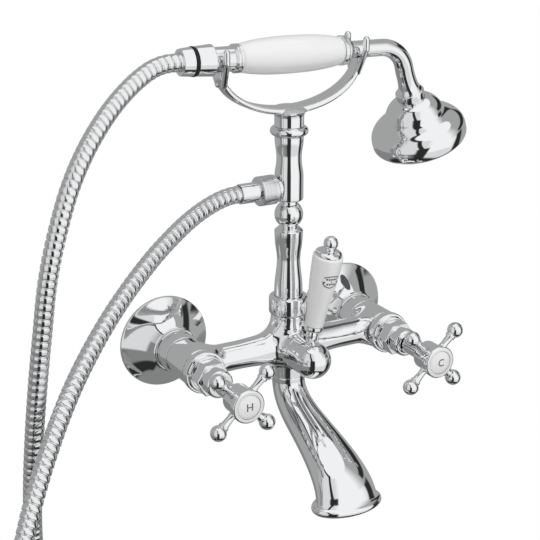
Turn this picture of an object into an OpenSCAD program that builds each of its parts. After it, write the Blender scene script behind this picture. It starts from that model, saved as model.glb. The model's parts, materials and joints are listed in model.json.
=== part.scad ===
// Bath shower mixer, wall mounted, with a handset on a cradle. Millimetres.
// The origin is midway between the inlets on the finished wall. +X right, -Y out of the wall, +Z up.

/* [Wall connections] */
// Distance between the hot and the cold inlet
inlet_spacing = 150; // [136:1:180]
// Outside diameter of the thread that enters the wall
wall_thread_d = 20.95; // [17:0.05:24]
// Depth of that thread behind the finished wall
wall_thread_len = 20; // [12:1:40]
// Bore of the wall union
union_bore = 12.6; // [9:0.1:14]
// Outside diameter of the front thread of the union
union_d = 26; // [25.6:0.1:27]
// Size across the flats of the union hexagon
union_af = 27; // [26:0.5:30]
// Outside diameter of the union nut
union_nut_d = 30.4; // [29.4:0.2:34]
// Length of thread that the union nut covers
nut_grip = 11; // [8:0.5:13]
// Diameter of the wall flange at the wall
flange_d = 67.2; // [56:0.2:80]
// Sheet thickness of the wall flange
flange_t = 1.2; // [0.8:0.1:1.8]

/* [Valves] */
// Distance of the arm axis from the wall
body_reach = 50.5; // [49:0.5:62]
// Diameter of the valve barrels
valve_d = 28; // [26.6:0.2:31]
// Length of a barrel behind the arm axis
valve_back = 15.5; // [13:0.5:18]
// Length of a barrel in front of the arm axis
valve_front = 10.6; // [10.4:0.2:14]
// Length of the tail that enters the union nut
tail_len = 11; // [8:0.5:13]
// Diameter of that tail
tail_d = 21.6; // [20:0.2:22.4]
// Bore of that tail in front of the washer
tail_bore = 14; // [13:0.2:16]
// Thickness of the lip on the tail
tail_lip = 2.2; // [1.5:0.1:3]
// Thickness of the inlet washers
inlet_washer_t = 2; // [1:0.1:3]
// Bore that takes the valve headwork
valve_bore_d = 19; // [18.4:0.2:20]
// Distance of the valve seat behind the arm axis
seat_back = 8.5; // [8:0.1:10]
// Bore of the valve seat
seat_port_d = 10; // [7:0.5:12]
// Thickness of the rubber seat seal
seat_seal_t = 1.5; // [1:0.1:2]
// Diameter of the ceramic discs
disc_d = 14.4; // [12:0.2:15]
// Thickness of each ceramic disc
disc_t = 3; // [2:0.1:3.5]
// Thickness of the foot of the spindle
foot_t = 2.5; // [1.5:0.1:3]
// Diameter of the spindle
spindle_d = 8; // [6:0.2:8.6]
// Thickness of the bonnet shoulder on the barrel face
shoulder_t = 1.5; // [1:0.1:2.5]
// Diameter of the stepped collar
collar_d = 30; // [27:0.2:34]
// Height of the stepped collar
collar_h = 8.6; // [7:0.2:12]
// Diameter of the bonnet inside the collar
bonnet_d = 22; // [20:0.2:23.6]
// Size across the flats of the bonnet hexagon
bonnet_af = 22; // [20:0.5:26]
// Height of the bonnet hexagon
bonnet_hex_h = 10; // [7:0.5:14]
// Diameter of the gland nut
gland_d = 20; // [16:0.2:22]
// Height of the gland nut
gland_h = 9.8; // [7:0.2:12]

/* [Cross handles] */
// Distance of the hub from the barrel face
hub_reach = 51; // [50:0.5:64]
// Diameter of the hub
hub_d = 20; // [18:0.2:22.6]
// Depth of the hub
hub_h = 14; // [13:0.5:18]
// Diameter of the skirt behind the hub
skirt_d = 12; // [11:0.2:15]
// Distance of the arms in front of the back of the hub
arm_set = 10.6; // [7:0.2:11]
// Diameter of a handle arm at the hub
arm_root_d = 4.6; // [3.6:0.1:5]
// Diameter of a handle arm at its end
arm_tip_d = 6; // [5:0.1:6.6]
// Diameter of the collar in front of each ball
arm_collar_d = 7.2; // [6.8:0.1:8]
// Diameter of the balls
ball_d = 11; // [9:0.2:13]
// Distance of the balls from the handle axis
ball_reach = 25.4; // [23:0.2:30]
// Diameter of the bezel
bezel_d = 23.2; // [21:0.2:26]
// Height of the bezel
bezel_h = 5.5; // [4:0.1:7]
// Diameter of the white index disc
index_d = 16.8; // [12:0.2:18]
// Depth of the seat of the index disc
index_seat = 2.2; // [1.5:0.1:3]
// Rise of the index disc above the bezel
index_rise = 1; // [0.4:0.1:1.6]
// Diameter of the handle screw
screw_d = 4; // [3:0.5:4.5]
// Length of the handle screw in the spindle
screw_grip = 8.5; // [5:0.5:12]

/* [Body] */
// Diameter of the arms
body_arm_d = 20; // [18.6:0.2:20.4]
// Bore of the arms
arm_bore = 9; // [7:0.5:10]
// Radius of the fillet between an arm and a barrel
arm_fillet = 9; // [5:0.5:14]
// Diameter of the middle of the arms at the core
arm_core_d = 23; // [21:0.2:24]
// Diameter of the core behind the diverter
core_d = 31; // [29.4:0.2:34]
// Diameter of the neck under the column nut
neck_d = 24.8; // [24.4:0.2:27]
// Height of the neck above the arm axis
neck_h = 24.6; // [20:0.2:28]
// Diameter of the threaded nipple on the neck
nipple_d = 23.8; // [22.6:0.1:24]
// Height of that nipple
nipple_h = 7.4; // [6:0.2:12]
// Diameter of the spout socket
socket_d = 24.8; // [23:0.2:28]
// Depth of the spout socket below the arm axis
socket_drop = 21.8; // [20:0.2:28]
// Diameter of the diverter boss
boss_d = 26; // [25:0.2:29]
// Reach of the diverter boss in front of the arm axis
boss_reach = 19.1; // [17.5:0.1:24]

/* [Diverter] */
// Diameter of the spool bore
spool_bore = 20; // [18:0.2:21.4]
// Diameter of the stem of the spool
stem_d = 9.8; // [7:0.2:10.6]
// Diameter of the ports that the spool opens
port_d = 8.8; // [6:0.2:9]
// Diameter of the thread of the diverter bush
bush_d = 22.6; // [22:0.2:23.4]
// Length of the cylindrical part of the cap
cap_len = 14.5; // [12:0.5:18]
// Lean of the lever away from the wall
lever_lean = 10.8; // [0:0.2:16]
// Rest angle of the lever, toward the cold side
lever_turn = 5; // [0:0.5:10]
// Distance of the lever root in front of the arm axis
lever_root = 27; // [25.5:0.5:30]
// Height of the chrome neck of the lever above its axis
lever_neck_h = 22; // [17:0.2:26]
// Diameter of that neck
lever_neck_d = 9; // [7.6:0.2:11]
// Diameter of the collar under the porcelain
lever_collar_d = 13.4; // [12:0.2:16]
// Height of that collar
lever_collar_h = 4.2; // [3:0.2:6]
// Length of the porcelain of the lever
lever_len = 54.5; // [40:0.5:75]
// Diameter of the porcelain at the collar
lever_low_d = 13; // [11:0.2:14]
// Largest diameter of the porcelain
lever_top_d = 20.8; // [17:0.2:24]
// Diameter of the rod in the porcelain
lever_rod_d = 6; // [4:0.2:6.6]
// Diameter of the cap over the porcelain
finial_cap_d = 18.6; // [15:0.2:22]
// Height of that cap
finial_cap_h = 3.6; // [2.5:0.1:6]
// Diameter of the ball of the finial
finial_d = 10; // [8:0.2:13]

/* [Spout] */
// Diameter of the spout at the body
spout_d = 23.2; // [21.4:0.2:24]
// Reach of the outlet in front of the column axis
spout_reach = 81.5; // [65:0.5:110]
// Drop of the outlet below the socket
spout_drop = 66.5; // [55:0.5:85]
// Width of the outlet inside its lip
outlet_w = 47; // [36:0.5:54]
// Depth of the outlet inside its lip
outlet_d = 27; // [24:0.5:34]
// Diameter of the lip around the outlet
lip_d = 6; // [4:0.2:7]
// Wall thickness of the spout
spout_wall = 2; // [1.6:0.1:2.6]
// Diameter of the spigot in the body
spigot_d = 18; // [15:0.2:19]
// Length of that spigot
spigot_len = 9; // [7:0.2:10]

/* [Column] */
// Outside diameter of the column nut
column_nut_d = 27.6; // [27:0.2:31]
// Diameter of the column
column_d = 20; // [18.4:0.2:20.6]
// Diameter of the waist of the lower column
waist_d = 16.4; // [12:0.2:18]
// Height of the lower column up to its shoulder
lower_h = 52.5; // [40:0.5:70]
// Diameter of the ball between the columns
column_ball_d = 20; // [16:0.2:22]
// Diameter of the necks beside the ball
column_neck_d = 13; // [11.6:0.2:14]
// Height of each of those necks
column_neck_h = 1.3; // [1:0.1:3]
// Rise of the sloped shoulder under the ball
shoulder_rise = 2.2; // [1:0.1:2.6]
// Bore of the column
column_bore = 8; // [6:0.2:8.4]
// Height of the tee
tee_h = 45.7; // [38:0.5:60]
// Diameter of the waist of the tee
tee_waist_d = 17.4; // [15:0.2:18.2]
// Height of the hose outlet above the foot of the tee
hose_outlet_h = 9; // [8:0.2:9.6]
// Height of the bead ring
bead_h = 6.2; // [4:0.2:8]
// Outside diameter of the bead ring
bead_d = 26.4; // [24:0.2:30]

/* [Cradle] */
// Distance between the left and right tabs
tab_span = 106; // [104:0.5:112]
// Drop of the inside of the band below its ends
band_drop = 28.6; // [26:0.2:36]
// Thickness of the band at its middle
band_t = 4.5; // [3.4:0.1:5.4]
// Thickness of the band at its ends
band_end_t = 3.3; // [3:0.1:4]
// Width of the band at its middle
band_w = 16; // [13:0.5:19]
// Width of the band at its ends
band_end_w = 11; // [9:0.5:12.6]
// Diameter of the upright tabs of the forks
tab_d = 4.6; // [4:0.1:5.4]
// Length of the tabs
tab_len = 12.6; // [9:0.2:14]
// Height of the tab tips above the ends of the band
tab_rise = 16.8; // [15.4:0.2:22]
// Clearance between a notch and the tabs beside it
tab_gap = 0.9; // [0.6:0.1:3]
// Diameter of the slanted prongs that carry the tabs
prong_d = 2.8; // [2.4:0.1:3.4]
// Height of the centre of the notches above the ends of the band
notch_rise = 7.4; // [6:0.2:9]
// Height of the neck under the band
cradle_neck_h = 9.3; // [8:0.1:20]
// Diameter of that neck
cradle_neck_d = 20.3; // [16:0.1:22]

/* [Handset] */
// Length of the porcelain grip
grip_len = 78; // [66:0.5:84]
// Largest diameter of the grip
grip_d = 25.2; // [22:0.2:30]
// Diameter of the grip at its ends
grip_end_d = 19; // [17.6:0.2:20]
// Diameter of the inlet neck that lies in the left notch
inlet_neck_d = 16.6; // [14:0.2:17]
// Diameter of the tube
tube_d = 11.8; // [11:0.1:12.6]
// Bore of the tube
tube_bore = 8; // [6:0.2:8.6]
// Radius of the bend of the tube
bend_r = 24; // [20:0.5:36]
// Length of the tube between the right tabs and the bend
tube_lead = 20.6; // [12:0.2:40]
// Angle of the head axis from the vertical of the handset
head_tilt = 18; // [0:1:30]
// Roll of the head toward the wall
handset_roll = 8; // [0:1:12]
// Length of the flared end of the tube
head_drop = 18; // [14:0.5:30]
// Diameter of the collar on the head
head_collar_d = 20.6; // [19.4:0.2:24]
// Height of that collar
head_collar_h = 6.5; // [4:0.1:9]
// Diameter of the head
head_d = 69; // [60:0.5:90]
// Diameter of the head at its waist
head_waist_d = 45; // [40:0.5:52]
// Height of the head below its collar
head_h = 34.5; // [30:0.5:44]
// Wall thickness of the head
head_wall = 1.6; // [1.2:0.1:2.2]
// Diameter of the nozzles
nozzle_d = 1.8; // [1:0.1:2.2]

/* [Hose] */
// Outside diameter of the hose
hose_d = 12; // [10:0.2:12.4]
// Bore of the hose
hose_bore = 7.2; // [5:0.2:7.4]
// Depth of the ribs of the hose
rib_depth = 0.7; // [0.3:0.1:0.8]
// Number of ribs
rib_count = 196; // [120:2:200]
// Largest diameter of the conical nut at the handset
cone_nut_d = 21; // [20.2:0.2:24]
// Width of the rubber ring behind that nut
ring_w = 2.3; // [1.4:0.1:3]
// Smallest diameter of the swivel at the handset
swivel_d = 17.6; // [15.4:0.2:18.4]
// Diameter of the hose nut at the column
hose_nut_d = 20.4; // [19.4:0.2:24]
// Length of that nut
hose_nut_len = 13; // [12:0.2:16]

/* [Fits] */
// Radial clearance between fixed parts that slide together
slip_fit = 0.1; // [0.06:0.01:0.2]
// Radial clearance of parts that turn in one another
run_fit = 0.06; // [0.03:0.01:0.1]
// Clearance between parts that move apart
rest_gap = 0.3; // [0.2:0.05:0.5]
// Clearance between a moving face and the next fixed face
face_gap = 0.4; // [0.2:0.05:0.8]
// Thickness of the washers on the column and the hose
washer_t = 1.5; // [1:0.1:2]

/* [Hidden] */
$fn = 64;
valve_x = inlet_spacing / 2;
valve_rear = body_reach - valve_back;
valve_face = body_reach + valve_front;
tail_face = valve_rear - tail_len;
union_face = tail_face - inlet_washer_t;
nut_rear = union_face - nut_grip;
nut_front = valve_rear - 0.5;
seat_floor = body_reach - seat_back;
seal_top = seat_floor + seat_seal_t;
seat_disc_top = seal_top + disc_t;
turn_disc_low = seat_disc_top + 0.05;
turn_disc_top = turn_disc_low + disc_t;
foot_top = turn_disc_top + foot_t;
cavity_top = foot_top + face_gap;
cavity_r = disc_d / 2 + rest_gap;
spindle_bore_r = spindle_d / 2 + run_fit;
bonnet_step = valve_face + shoulder_t;
hex_low = bonnet_step + collar_h + 0.4;
hex_top = hex_low + bonnet_hex_h;
packing_depth = 4;
packing_r = spindle_d / 2 + 1.9;
gland_top = hex_top + gland_h;
hub_back = valve_face + hub_reach;
hub_front = hub_back + hub_h;
skirt_gap = 1;
skirt_back = gland_top + skirt_gap;
recess_depth = 6;
recess_r = 6.6;
web_t = 3;
recess_floor = hub_front - recess_depth;
spindle_end = recess_floor - web_t;
screw_head_r = screw_d / 2 + 1.5;
screw_head_h = 2.6;
bezel_front = hub_front + bezel_h;
arms_out = hub_back + arm_set;
union_hex_low = 2;
flange_h = union_face;
arm_flat = 10;
arm_sink = 6;
core_ease = 1.4;

boss_face = body_reach + boss_reach;
spool_back = 3.3;
spool_lead = 10.7;
mix_back = 13;
port_lead = 3;
arm_bore_back = 4;
stem_len = 12;
grub_set = 6;
spool_rear = body_reach - spool_back;
spool_front = body_reach + spool_lead;
bush_rear = spool_front + rest_gap;
mix_rear = body_reach - mix_back;
port_out = body_reach + port_lead;
spool_r = spool_bore / 2 - run_fit;
arm_bore_out = body_reach - arm_bore_back;
cap_rear = boss_face + face_gap;
cap_r = boss_d / 2;
cap_end = cap_rear + cap_len;
stem_end = cap_rear + stem_len;
grub_out = cap_rear + grub_set;
grub_d = 4;
lever_foot = lever_neck_h;
lever_rod_low = cap_r - 1;
porcelain_low = lever_foot + lever_collar_h;
porcelain_top = porcelain_low + lever_len;
finial_low = porcelain_top;
finial_neck_r = finial_d / 2 - 1.6;
finial_z = finial_low + finial_cap_h + finial_d / 2 - 0.3;

socket_z = -socket_drop;
spigot_top = socket_z + spigot_len;
socket_bore_r = spigot_d / 2 + slip_fit;
spout_collar_h = 5;
spout_ring_r = 1.1;
spout_sides = 32;

nipple_top = neck_h + nipple_h;
foot_z = nipple_top + washer_t;
foot_flange_t = 2.7;
column_r = column_d / 2;
shoulder_z = foot_z + lower_h;
ball_z = shoulder_z + column_neck_h + column_ball_d / 2;
tee_z = ball_z + column_ball_d / 2 + column_neck_h - 1;
stub_len = 5;
stub_r = column_neck_d / 2 - 0.6;
hose_z = tee_z + hose_outlet_h;
tee_top = tee_z + tee_h;
bead_top = tee_top + bead_h;
cradle_spigot_r = 5;
cradle_spigot_len = 12;
column_nut_low = neck_h + 0.2;
column_nut_top = foot_z + foot_flange_t + 1.8;

band_inset = 1.5;
band_z = bead_top + cradle_neck_h + band_drop + band_t;
band_in = tab_span / 2 - band_inset;
band_out = band_in + band_end_t;
notch_z = band_z + notch_rise;
notch_r = inlet_neck_d / 2 + rest_gap;
tab_set = notch_r + tab_gap + tab_d / 2;
band_end = 2;
prong_sink = 6;
neck_drop = (inlet_neck_d - tube_d) / 2;
handset_z = notch_z - neck_drop / 2;
handset_tilt = asin(neck_drop / tab_span);
tab_x = tab_span / 2;

tube_r = tube_d / 2;
grip_half = grip_len / 2;
ferrule_h = 5;
cup_len = 7.4;
groove_set = 1.5;
groove_w = 0.6;
groove_d = 0.5;
ferrule_r = grip_end_d / 2 + 0.2;
neck_over = 5.4;
hand_nipple_len = 5.5;
cone_nut_len = 12.2;
hose_grip = 7.5;
neck_end = -tab_x - neck_over;
nipple_end = neck_end - hand_nipple_len;
hand_washer_end = nipple_end - washer_t;
swivel_lip = 1.5;
swivel_seat = hand_washer_end - swivel_lip;
cone_nut_end = neck_end - cone_nut_len;
ring_front = cone_nut_end - rest_gap;
swivel_body = ring_front - ring_w;
hose_start = swivel_body - face_gap;
swivel_end = hose_start - hose_grip;
hand_thread_r = 7.4;
swivel_neck_r = 6.4;
socket_r = hose_d / 2 + 0.25;
tube_x0 = neck_end + 6;
bend_x = tab_x + tube_lead;
head_nipple_r = 7.2;
head_nipple_len = 8;
flare_r = head_nipple_r + 1.8;
collar_low = head_drop + head_collar_h;
face_inset = 4;
face_t = 2.4;
head_top = collar_low;
face_z = head_top + head_h - face_inset;

outlet_gap = 1.6;
outlet_len = 7;
outlet_x = -column_r - outlet_gap;
outlet_end = outlet_x - outlet_len;
outlet_r = 8.2;
outlet_washer_end = outlet_end - washer_t;
ferrule_lip = 2;
ferrule_lip_end = outlet_washer_end - ferrule_lip;
hose_nut_end = outlet_x - hose_nut_len;
hose_ferrule_r = hose_d / 2 + 0.9;
hose_stop = hose_nut_end - 2 * ferrule_lip;
hose_ferrule_end = hose_stop - hose_grip;

// Points of a cubic curve between two ends with two handles.
function bez(p, q, r, s, n = 10) =
    [for (i = [0:n]) let (t = i / n, u = 1 - t) p*u*u*u + 3*q*t*u*u + 3*r*t*t*u + s*t*t*t];

// Points of an arc from angle a to angle b.
function arc(c, r, a, b, n = 8) =
    [for (i = [0:n]) let (w = a + (b - a) * i / n) c + r * [cos(w), sin(w)]];

function unit(v) = v / norm(v);

module turned(outline) {
    rotate_extrude() polygon(outline);
}

// A plain ring or tube between two heights.
module ring(r_out, r_in, low, high) {
    rotate_extrude() translate([r_in, low]) square([r_out - r_in, high - low]);
}

// A pin or bore between two heights.
module rod(r, low, high) {
    translate([0, 0, low]) cylinder(r = r, h = high - low);
}

// A hexagon with its flats at the given size.
module hexagon(af, low, high) {
    translate([0, 0, low]) cylinder(d = af / cos(30), h = high - low, $fn = 6);
}

// Local z runs out of the wall.
module from_wall(x = 0) {
    translate([x, 0, 0]) rotate([90, 0, 0]) children();
}

// Local z runs up the column.
module on_column() {
    translate([0, -body_reach, 0]) children();
}

// Local z runs along +X.
module along_x() {
    rotate([0, 90, 0]) children();
}

// The frame of the handset as it lies in the cradle.
module on_handset() {
    translate([0, -body_reach, handset_z]) rotate([handset_roll, handset_tilt, 0]) children();
}

// Local z runs down the axis of the head from the end of the bend.
module on_head() {
    on_handset()
        translate([bend_x + bend_r * cos(head_tilt), 0, bend_r * (sin(head_tilt) - 1)])
            rotate([0, 180 - head_tilt, 0]) children();
}

// Local z runs up the axis of the lever.
module on_lever() {
    translate([0, -body_reach - lever_root, 0])
        rotate([0, lever_turn, 0]) rotate([lever_lean, 0, 0]) children();
}

module wall_union(x) {
    color("silver") from_wall(x) difference() {
        union() {
            rod(wall_thread_d / 2, -wall_thread_len, union_hex_low + 1);
            hexagon(union_af, union_hex_low, nut_rear - 0.5);
            rod(union_d / 2, nut_rear - 1, union_face);
        }
        rod(union_bore / 2, -wall_thread_len - 1, union_face + 1);
    }
}

module hot_union() { wall_union(-valve_x); }
module cold_union() { wall_union(valve_x); }

// Bell-shaped sheet cover with a plain rim against the wall.
module wall_flange(x) {
    rim = flange_d / 2;
    mouth = union_nut_d / 2 + rest_gap + flange_t;
    inset = [-flange_t, 0];
    low = [rim - 0.4, 2.6];
    high = [mouth, flange_h];
    outside = bez(low, low + [-4.4, 3.2], high + [3.6, -10], high);
    inside = [for (i = [10:-1:0]) outside[i] + inset];
    edge = [[rim - flange_t - 0.4, 0], [rim, 0], [rim, 2]];
    color("silver") from_wall(x) turned(concat(edge, outside, inside));
}

module hot_flange() { wall_flange(-valve_x); }
module cold_flange() { wall_flange(valve_x); }

module union_nut(x) {
    r = union_nut_d / 2;
    lip_low = tail_face + tail_lip + 0.2;
    color("silver") from_wall(x) difference() {
        turned([[0, nut_rear], [r - 0.6, nut_rear], [r, nut_rear + 0.6], [r, nut_front - 6.5],
                [r - 1.3, nut_front], [0, nut_front]]);
        rod(union_d / 2 + slip_fit, nut_rear - 1, lip_low);
        rod(tail_d / 2 + 0.2, lip_low - 1, nut_front + 1);
    }
}

module hot_union_nut() { union_nut(-valve_x); }
module cold_union_nut() { union_nut(valve_x); }

module inlet_washers() {
    color("dimgray") for (x = [-valve_x, valve_x])
        from_wall(x) ring(union_d / 2 - 0.3, union_bore / 2 + 0.3, union_face, tail_face);
}

// One valve barrel with its tail, standing on the wall side of the arms.
module barrel() {
    r = valve_d / 2;
    turned([[0, tail_face], [union_d / 2 - 0.2, tail_face], [union_d / 2 - 0.2, tail_face + tail_lip],
            [tail_d / 2, tail_face + tail_lip], [tail_d / 2, valve_rear], [r - 0.8, valve_rear],
            [r, valve_rear + 0.8], [r, valve_face - 0.5], [r - 0.5, valve_face], [0, valve_face]]);
}

// Bar between the barrels, flared toward the core.
module arm_bar() {
    r = body_arm_d / 2;
    wide = arm_core_d / 2;
    mid = valve_x * 0.56;
    flare = bez([wide, arm_flat], [wide, mid * 0.4], [r, mid * 0.5], [r, mid], 5);
    left = [for (i = [5:-1:0]) [flare[i][0], -flare[i][1]]];
    end = valve_x - arm_sink;
    on_column() along_x() turned(concat([[0, -end], [r, -end]], left, flare, [[r, end], [0, end]]));
}

// Fillets where the bar meets the barrels, kept behind the faces of the barrels.
module arm_fillets() {
    r = body_arm_d / 2;
    high = r + arm_fillet;
    away = sqrt(pow(valve_d / 2 + arm_fillet, 2) - high * high);
    turn = atan(away / high);
    curve = arc([high, valve_x - away], arm_fillet, 180, 180 - turn, 4);
    low = [r - 1, valve_x - away - 1];
    top = curve[4];
    intersection() {
        on_column() for (s = [0, 180]) rotate([0, 0, s]) along_x() turned(concat(
            [[0, low[1]], low, [r - 0.02, low[1] + 1]], [for (i = [1:4]) curve[i]],
            [[top[0], top[1] + 2], [0, top[1] + 2]]));
        translate([-valve_x, -valve_face + 0.3, -valve_d]) cube([inlet_spacing, valve_face, 2 * valve_d]);
    }
}

module core() {
    r = core_d / 2;
    neck = neck_d / 2;
    low = socket_d / 2;
    lift = r * 0.5;
    step = 4;
    throat = bez([r - 0.6, lift], [r - core_ease, lift + step], [neck, lift + 1.5 * step],
                 [neck, neck_h - core_ease], 5);
    skirt = bez([low, socket_z + step], [low, -lift - step], [low + core_ease, -lift - core_ease],
                [r - 0.6, -lift], 5);
    on_column() turned(concat([[0, socket_z], [low - 0.5, socket_z], [low, socket_z + 0.5]], skirt,
        arc([0, 0], r, -24, 24, 4), throat, [[neck, neck_h], [nipple_d / 2, neck_h],
        [nipple_d / 2, nipple_top - 0.8], [nipple_d / 2 - 0.8, nipple_top], [0, nipple_top]]));
}

module mixer_body() {
    color("silver") difference() {
        union() {
            for (x = [-valve_x, valve_x]) from_wall(x) barrel();
            arm_bar();
            arm_fillets();
            core();
            from_wall() turned([[0, body_reach], [cap_r, body_reach], [cap_r, boss_face - 0.4],
                                [cap_r - 0.4, boss_face], [0, boss_face]]);
        }
        for (x = [-valve_x, valve_x]) from_wall(x) {
            rod(tail_bore / 2, tail_face - 1, valve_rear);
            rod(seat_port_d / 2, valve_rear - 1, valve_face);
            rod(valve_bore_d / 2, seat_floor, valve_face + 1);
        }
        translate([0, -arm_bore_out, 0]) along_x() rod(arm_bore / 2, -valve_x, valve_x);
        from_wall() {
            rod(spool_bore / 2, mix_rear, bush_rear + 1);
            rod(bush_d / 2, bush_rear, boss_face + 1);
        }
        translate([0, -port_out, 0]) rod(port_d / 2, -spool_bore / 2 - 4, spool_bore / 2 + 4);
        on_column() {
            rod(column_bore / 2, spool_bore / 2 + 2, nipple_top + 1);
            rod(seat_port_d / 2, spigot_top - 1, -spool_bore / 2 - 1);
            rod(socket_bore_r, socket_z - 1, spigot_top + 0.2);
        }
    }
}

module seat_seals() {
    color("dimgray") for (x = [-valve_x, valve_x])
        from_wall(x) ring(valve_bore_d / 2 - 0.3, seat_port_d / 2, seat_floor, seal_top);
}

// Fixed ceramic disc with two openings.
module seat_disc(x) {
    color("ivory") from_wall(x) difference() {
        rod(cavity_r - 0.1, seal_top, seat_disc_top);
        for (s = [-1, 1]) translate([s * disc_d / 4, 0, 0])
            rod(disc_d / 8, seal_top - 1, seat_disc_top + 1);
    }
}

module hot_seat_disc() { seat_disc(-valve_x); }
module cold_seat_disc() { seat_disc(valve_x); }

// Turning ceramic disc, shut at rest: its openings stand across those of the fixed disc.
module turn_disc(x) {
    color("ivory") from_wall(x) difference() {
        rod(disc_d / 2, turn_disc_low, turn_disc_top);
        for (s = [-1, 1]) translate([0, s * disc_d / 4, 0]) rod(disc_d / 8, turn_disc_low - 1, foot_top);
    }
}

module hot_turn_disc() { turn_disc(-valve_x); }
module cold_turn_disc() { turn_disc(valve_x); }

module bonnet(x) {
    color("silver") from_wall(x) difference() {
        union() {
            rod(valve_bore_d / 2 - slip_fit, seal_top, valve_face + 0.5);
            rod(valve_d / 2 - 1.4, valve_face, bonnet_step);
            rod(bonnet_d / 2, valve_face, hex_low + 0.5);
            hexagon(bonnet_af, hex_low, hex_top);
        }
        rod(cavity_r, seal_top - 1, cavity_top);
        rod(spindle_bore_r, cavity_top - 1, hex_top + 1);
        rod(packing_r + slip_fit, hex_top - packing_depth - 0.2, hex_top + 1);
        translate([0, 0, turn_disc_top + 1.4]) along_x() rod(2.6, -valve_bore_d, valve_bore_d);
    }
}

module hot_bonnet() { bonnet(-valve_x); }
module cold_bonnet() { bonnet(valve_x); }

// Stepped ring between the barrel and the hexagon.
module collar(x) {
    low = bonnet_step + 0.1;
    high = bonnet_step + collar_h;
    r = collar_d / 2;
    step = bonnet_d / 2 + 1.8;
    color("silver") from_wall(x) turned(concat(
        [[bonnet_d / 2 + slip_fit, low], [r - 2, low]], arc([r - 1.6, low + 1.6], 1.6, -80, 0),
        arc([r - 1, high - 3.4], 1, 0, 80), [[step + 0.6, high - 2.4], [step, high - 1.8],
        [step, high - 0.4], [step - 0.4, high], [bonnet_d / 2 + slip_fit, high]]));
}

module hot_collar() { collar(-valve_x); }
module cold_collar() { collar(valve_x); }

module gland(x) {
    r = gland_d / 2;
    color("silver") from_wall(x) difference() {
        union() {
            rod(packing_r, hex_top - packing_depth, hex_top + 1);
            turned([[0, hex_top], [r - 0.4, hex_top], [r, hex_top + 0.4], [r - 0.3, gland_top - 1.2],
                    [r - 1.5, gland_top], [0, gland_top]]);
        }
        rod(spindle_bore_r, hex_top - packing_depth - 1, gland_top + 1);
    }
}

module hot_gland() { gland(-valve_x); }
module cold_gland() { gland(valve_x); }

module spindle(x) {
    color("goldenrod") from_wall(x) difference() {
        union() {
            rod(disc_d / 2 - 0.8, turn_disc_top, foot_top);
            rod(spindle_d / 2, turn_disc_top, spindle_end);
        }
        rod(screw_d / 2 + 0.05, spindle_end - screw_grip - 1, spindle_end + 1);
    }
}

module hot_spindle() { spindle(-valve_x); }
module cold_spindle() { spindle(valve_x); }

// One arm of a cross handle with its collar and ball, along +X from the hub.
module cross_arm() {
    low = hub_d / 2 - 2;
    flat = ball_reach - ball_d / 2 - 0.6;
    root = arm_root_d / 2;
    flare = bez([root, low], [root, low + 5], [root, flat - 5], [arm_tip_d / 2, flat]);
    along_x() turned(concat([[0, low]], flare, [[arm_collar_d / 2, flat], [arm_collar_d / 2, flat + 1.4],
                            [0, flat + 1.4]]));
    translate([ball_reach, 0, 0]) sphere(d = ball_d);
}

module cross_handle(x) {
    r = hub_d / 2;
    skirt = skirt_d / 2;
    color("silver") from_wall(x) difference() {
        union() {
            turned(concat([[0, skirt_back], [skirt - 0.5, skirt_back], [skirt, skirt_back + 0.5]],
                bez([skirt, hub_back - 5], [skirt, hub_back - 2], [r - 1.6, hub_back - 1],
                    [r, hub_back + 1.6]), [[r, hub_front], [0, hub_front]]));
            for (a = [45:90:315]) rotate([0, 0, a]) translate([0, 0, arms_out]) cross_arm();
        }
        rod(spindle_d / 2 + slip_fit, skirt_back - 1, spindle_end + 0.1);
        rod(screw_d / 2 + 0.1, spindle_end - 1, recess_floor + 1);
        rod(recess_r, recess_floor, hub_front + 1);
    }
}

module hot_handle() { cross_handle(-valve_x); }
module cold_handle() { cross_handle(valve_x); }

module handle_screw(x) {
    color("gray") from_wall(x) union() {
        rod(screw_d / 2, spindle_end - screw_grip, recess_floor + 1);
        turned([[0, recess_floor], [screw_head_r, recess_floor], [screw_head_r, recess_floor + 2],
                [screw_head_r - 0.6, recess_floor + screw_head_h], [0, recess_floor + screw_head_h]]);
    }
}

module hot_handle_screw() { handle_screw(-valve_x); }
module cold_handle_screw() { handle_screw(valve_x); }

module bezel(x) {
    r = bezel_d / 2;
    seat = bezel_front - index_seat;
    rear = recess_floor + screw_head_h + 0.3;
    bore = index_d / 2 + slip_fit;
    color("silver") from_wall(x) turned(concat(
        [[0, rear], [recess_r - slip_fit, rear], [recess_r - slip_fit, hub_front], [r - 1.2, hub_front]],
        arc([r - 1.2, hub_front + 1.2], 1.2, -90, 0), arc([r - 1.4, bezel_front - 1.4], 1.4, 0, 90),
        [[bore, bezel_front], [bore, seat], [0, seat]]));
}

module hot_bezel() { bezel(-valve_x); }
module cold_bezel() { bezel(valve_x); }

// White disc with a low dome.
module index_disc(x) {
    r = index_d / 2;
    dome_r = (r * r + index_rise * index_rise) / (2 * index_rise);
    half = asin(r / dome_r);
    low = bezel_front - index_seat;
    top = arc([0, bezel_front + index_rise - dome_r], dome_r, 90 - half, 90);
    color("white") from_wall(x) turned(concat([[0, low], [r, low]], top));
}

module hot_index() { index_disc(-valve_x); }
module cold_index() { index_disc(valve_x); }

// Threaded bush that holds the spool in the body.
module diverter_bush() {
    color("goldenrod") from_wall() ring(bush_d / 2 - slip_fit, stem_d / 2 + run_fit, bush_rear, boss_face);
}

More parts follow.
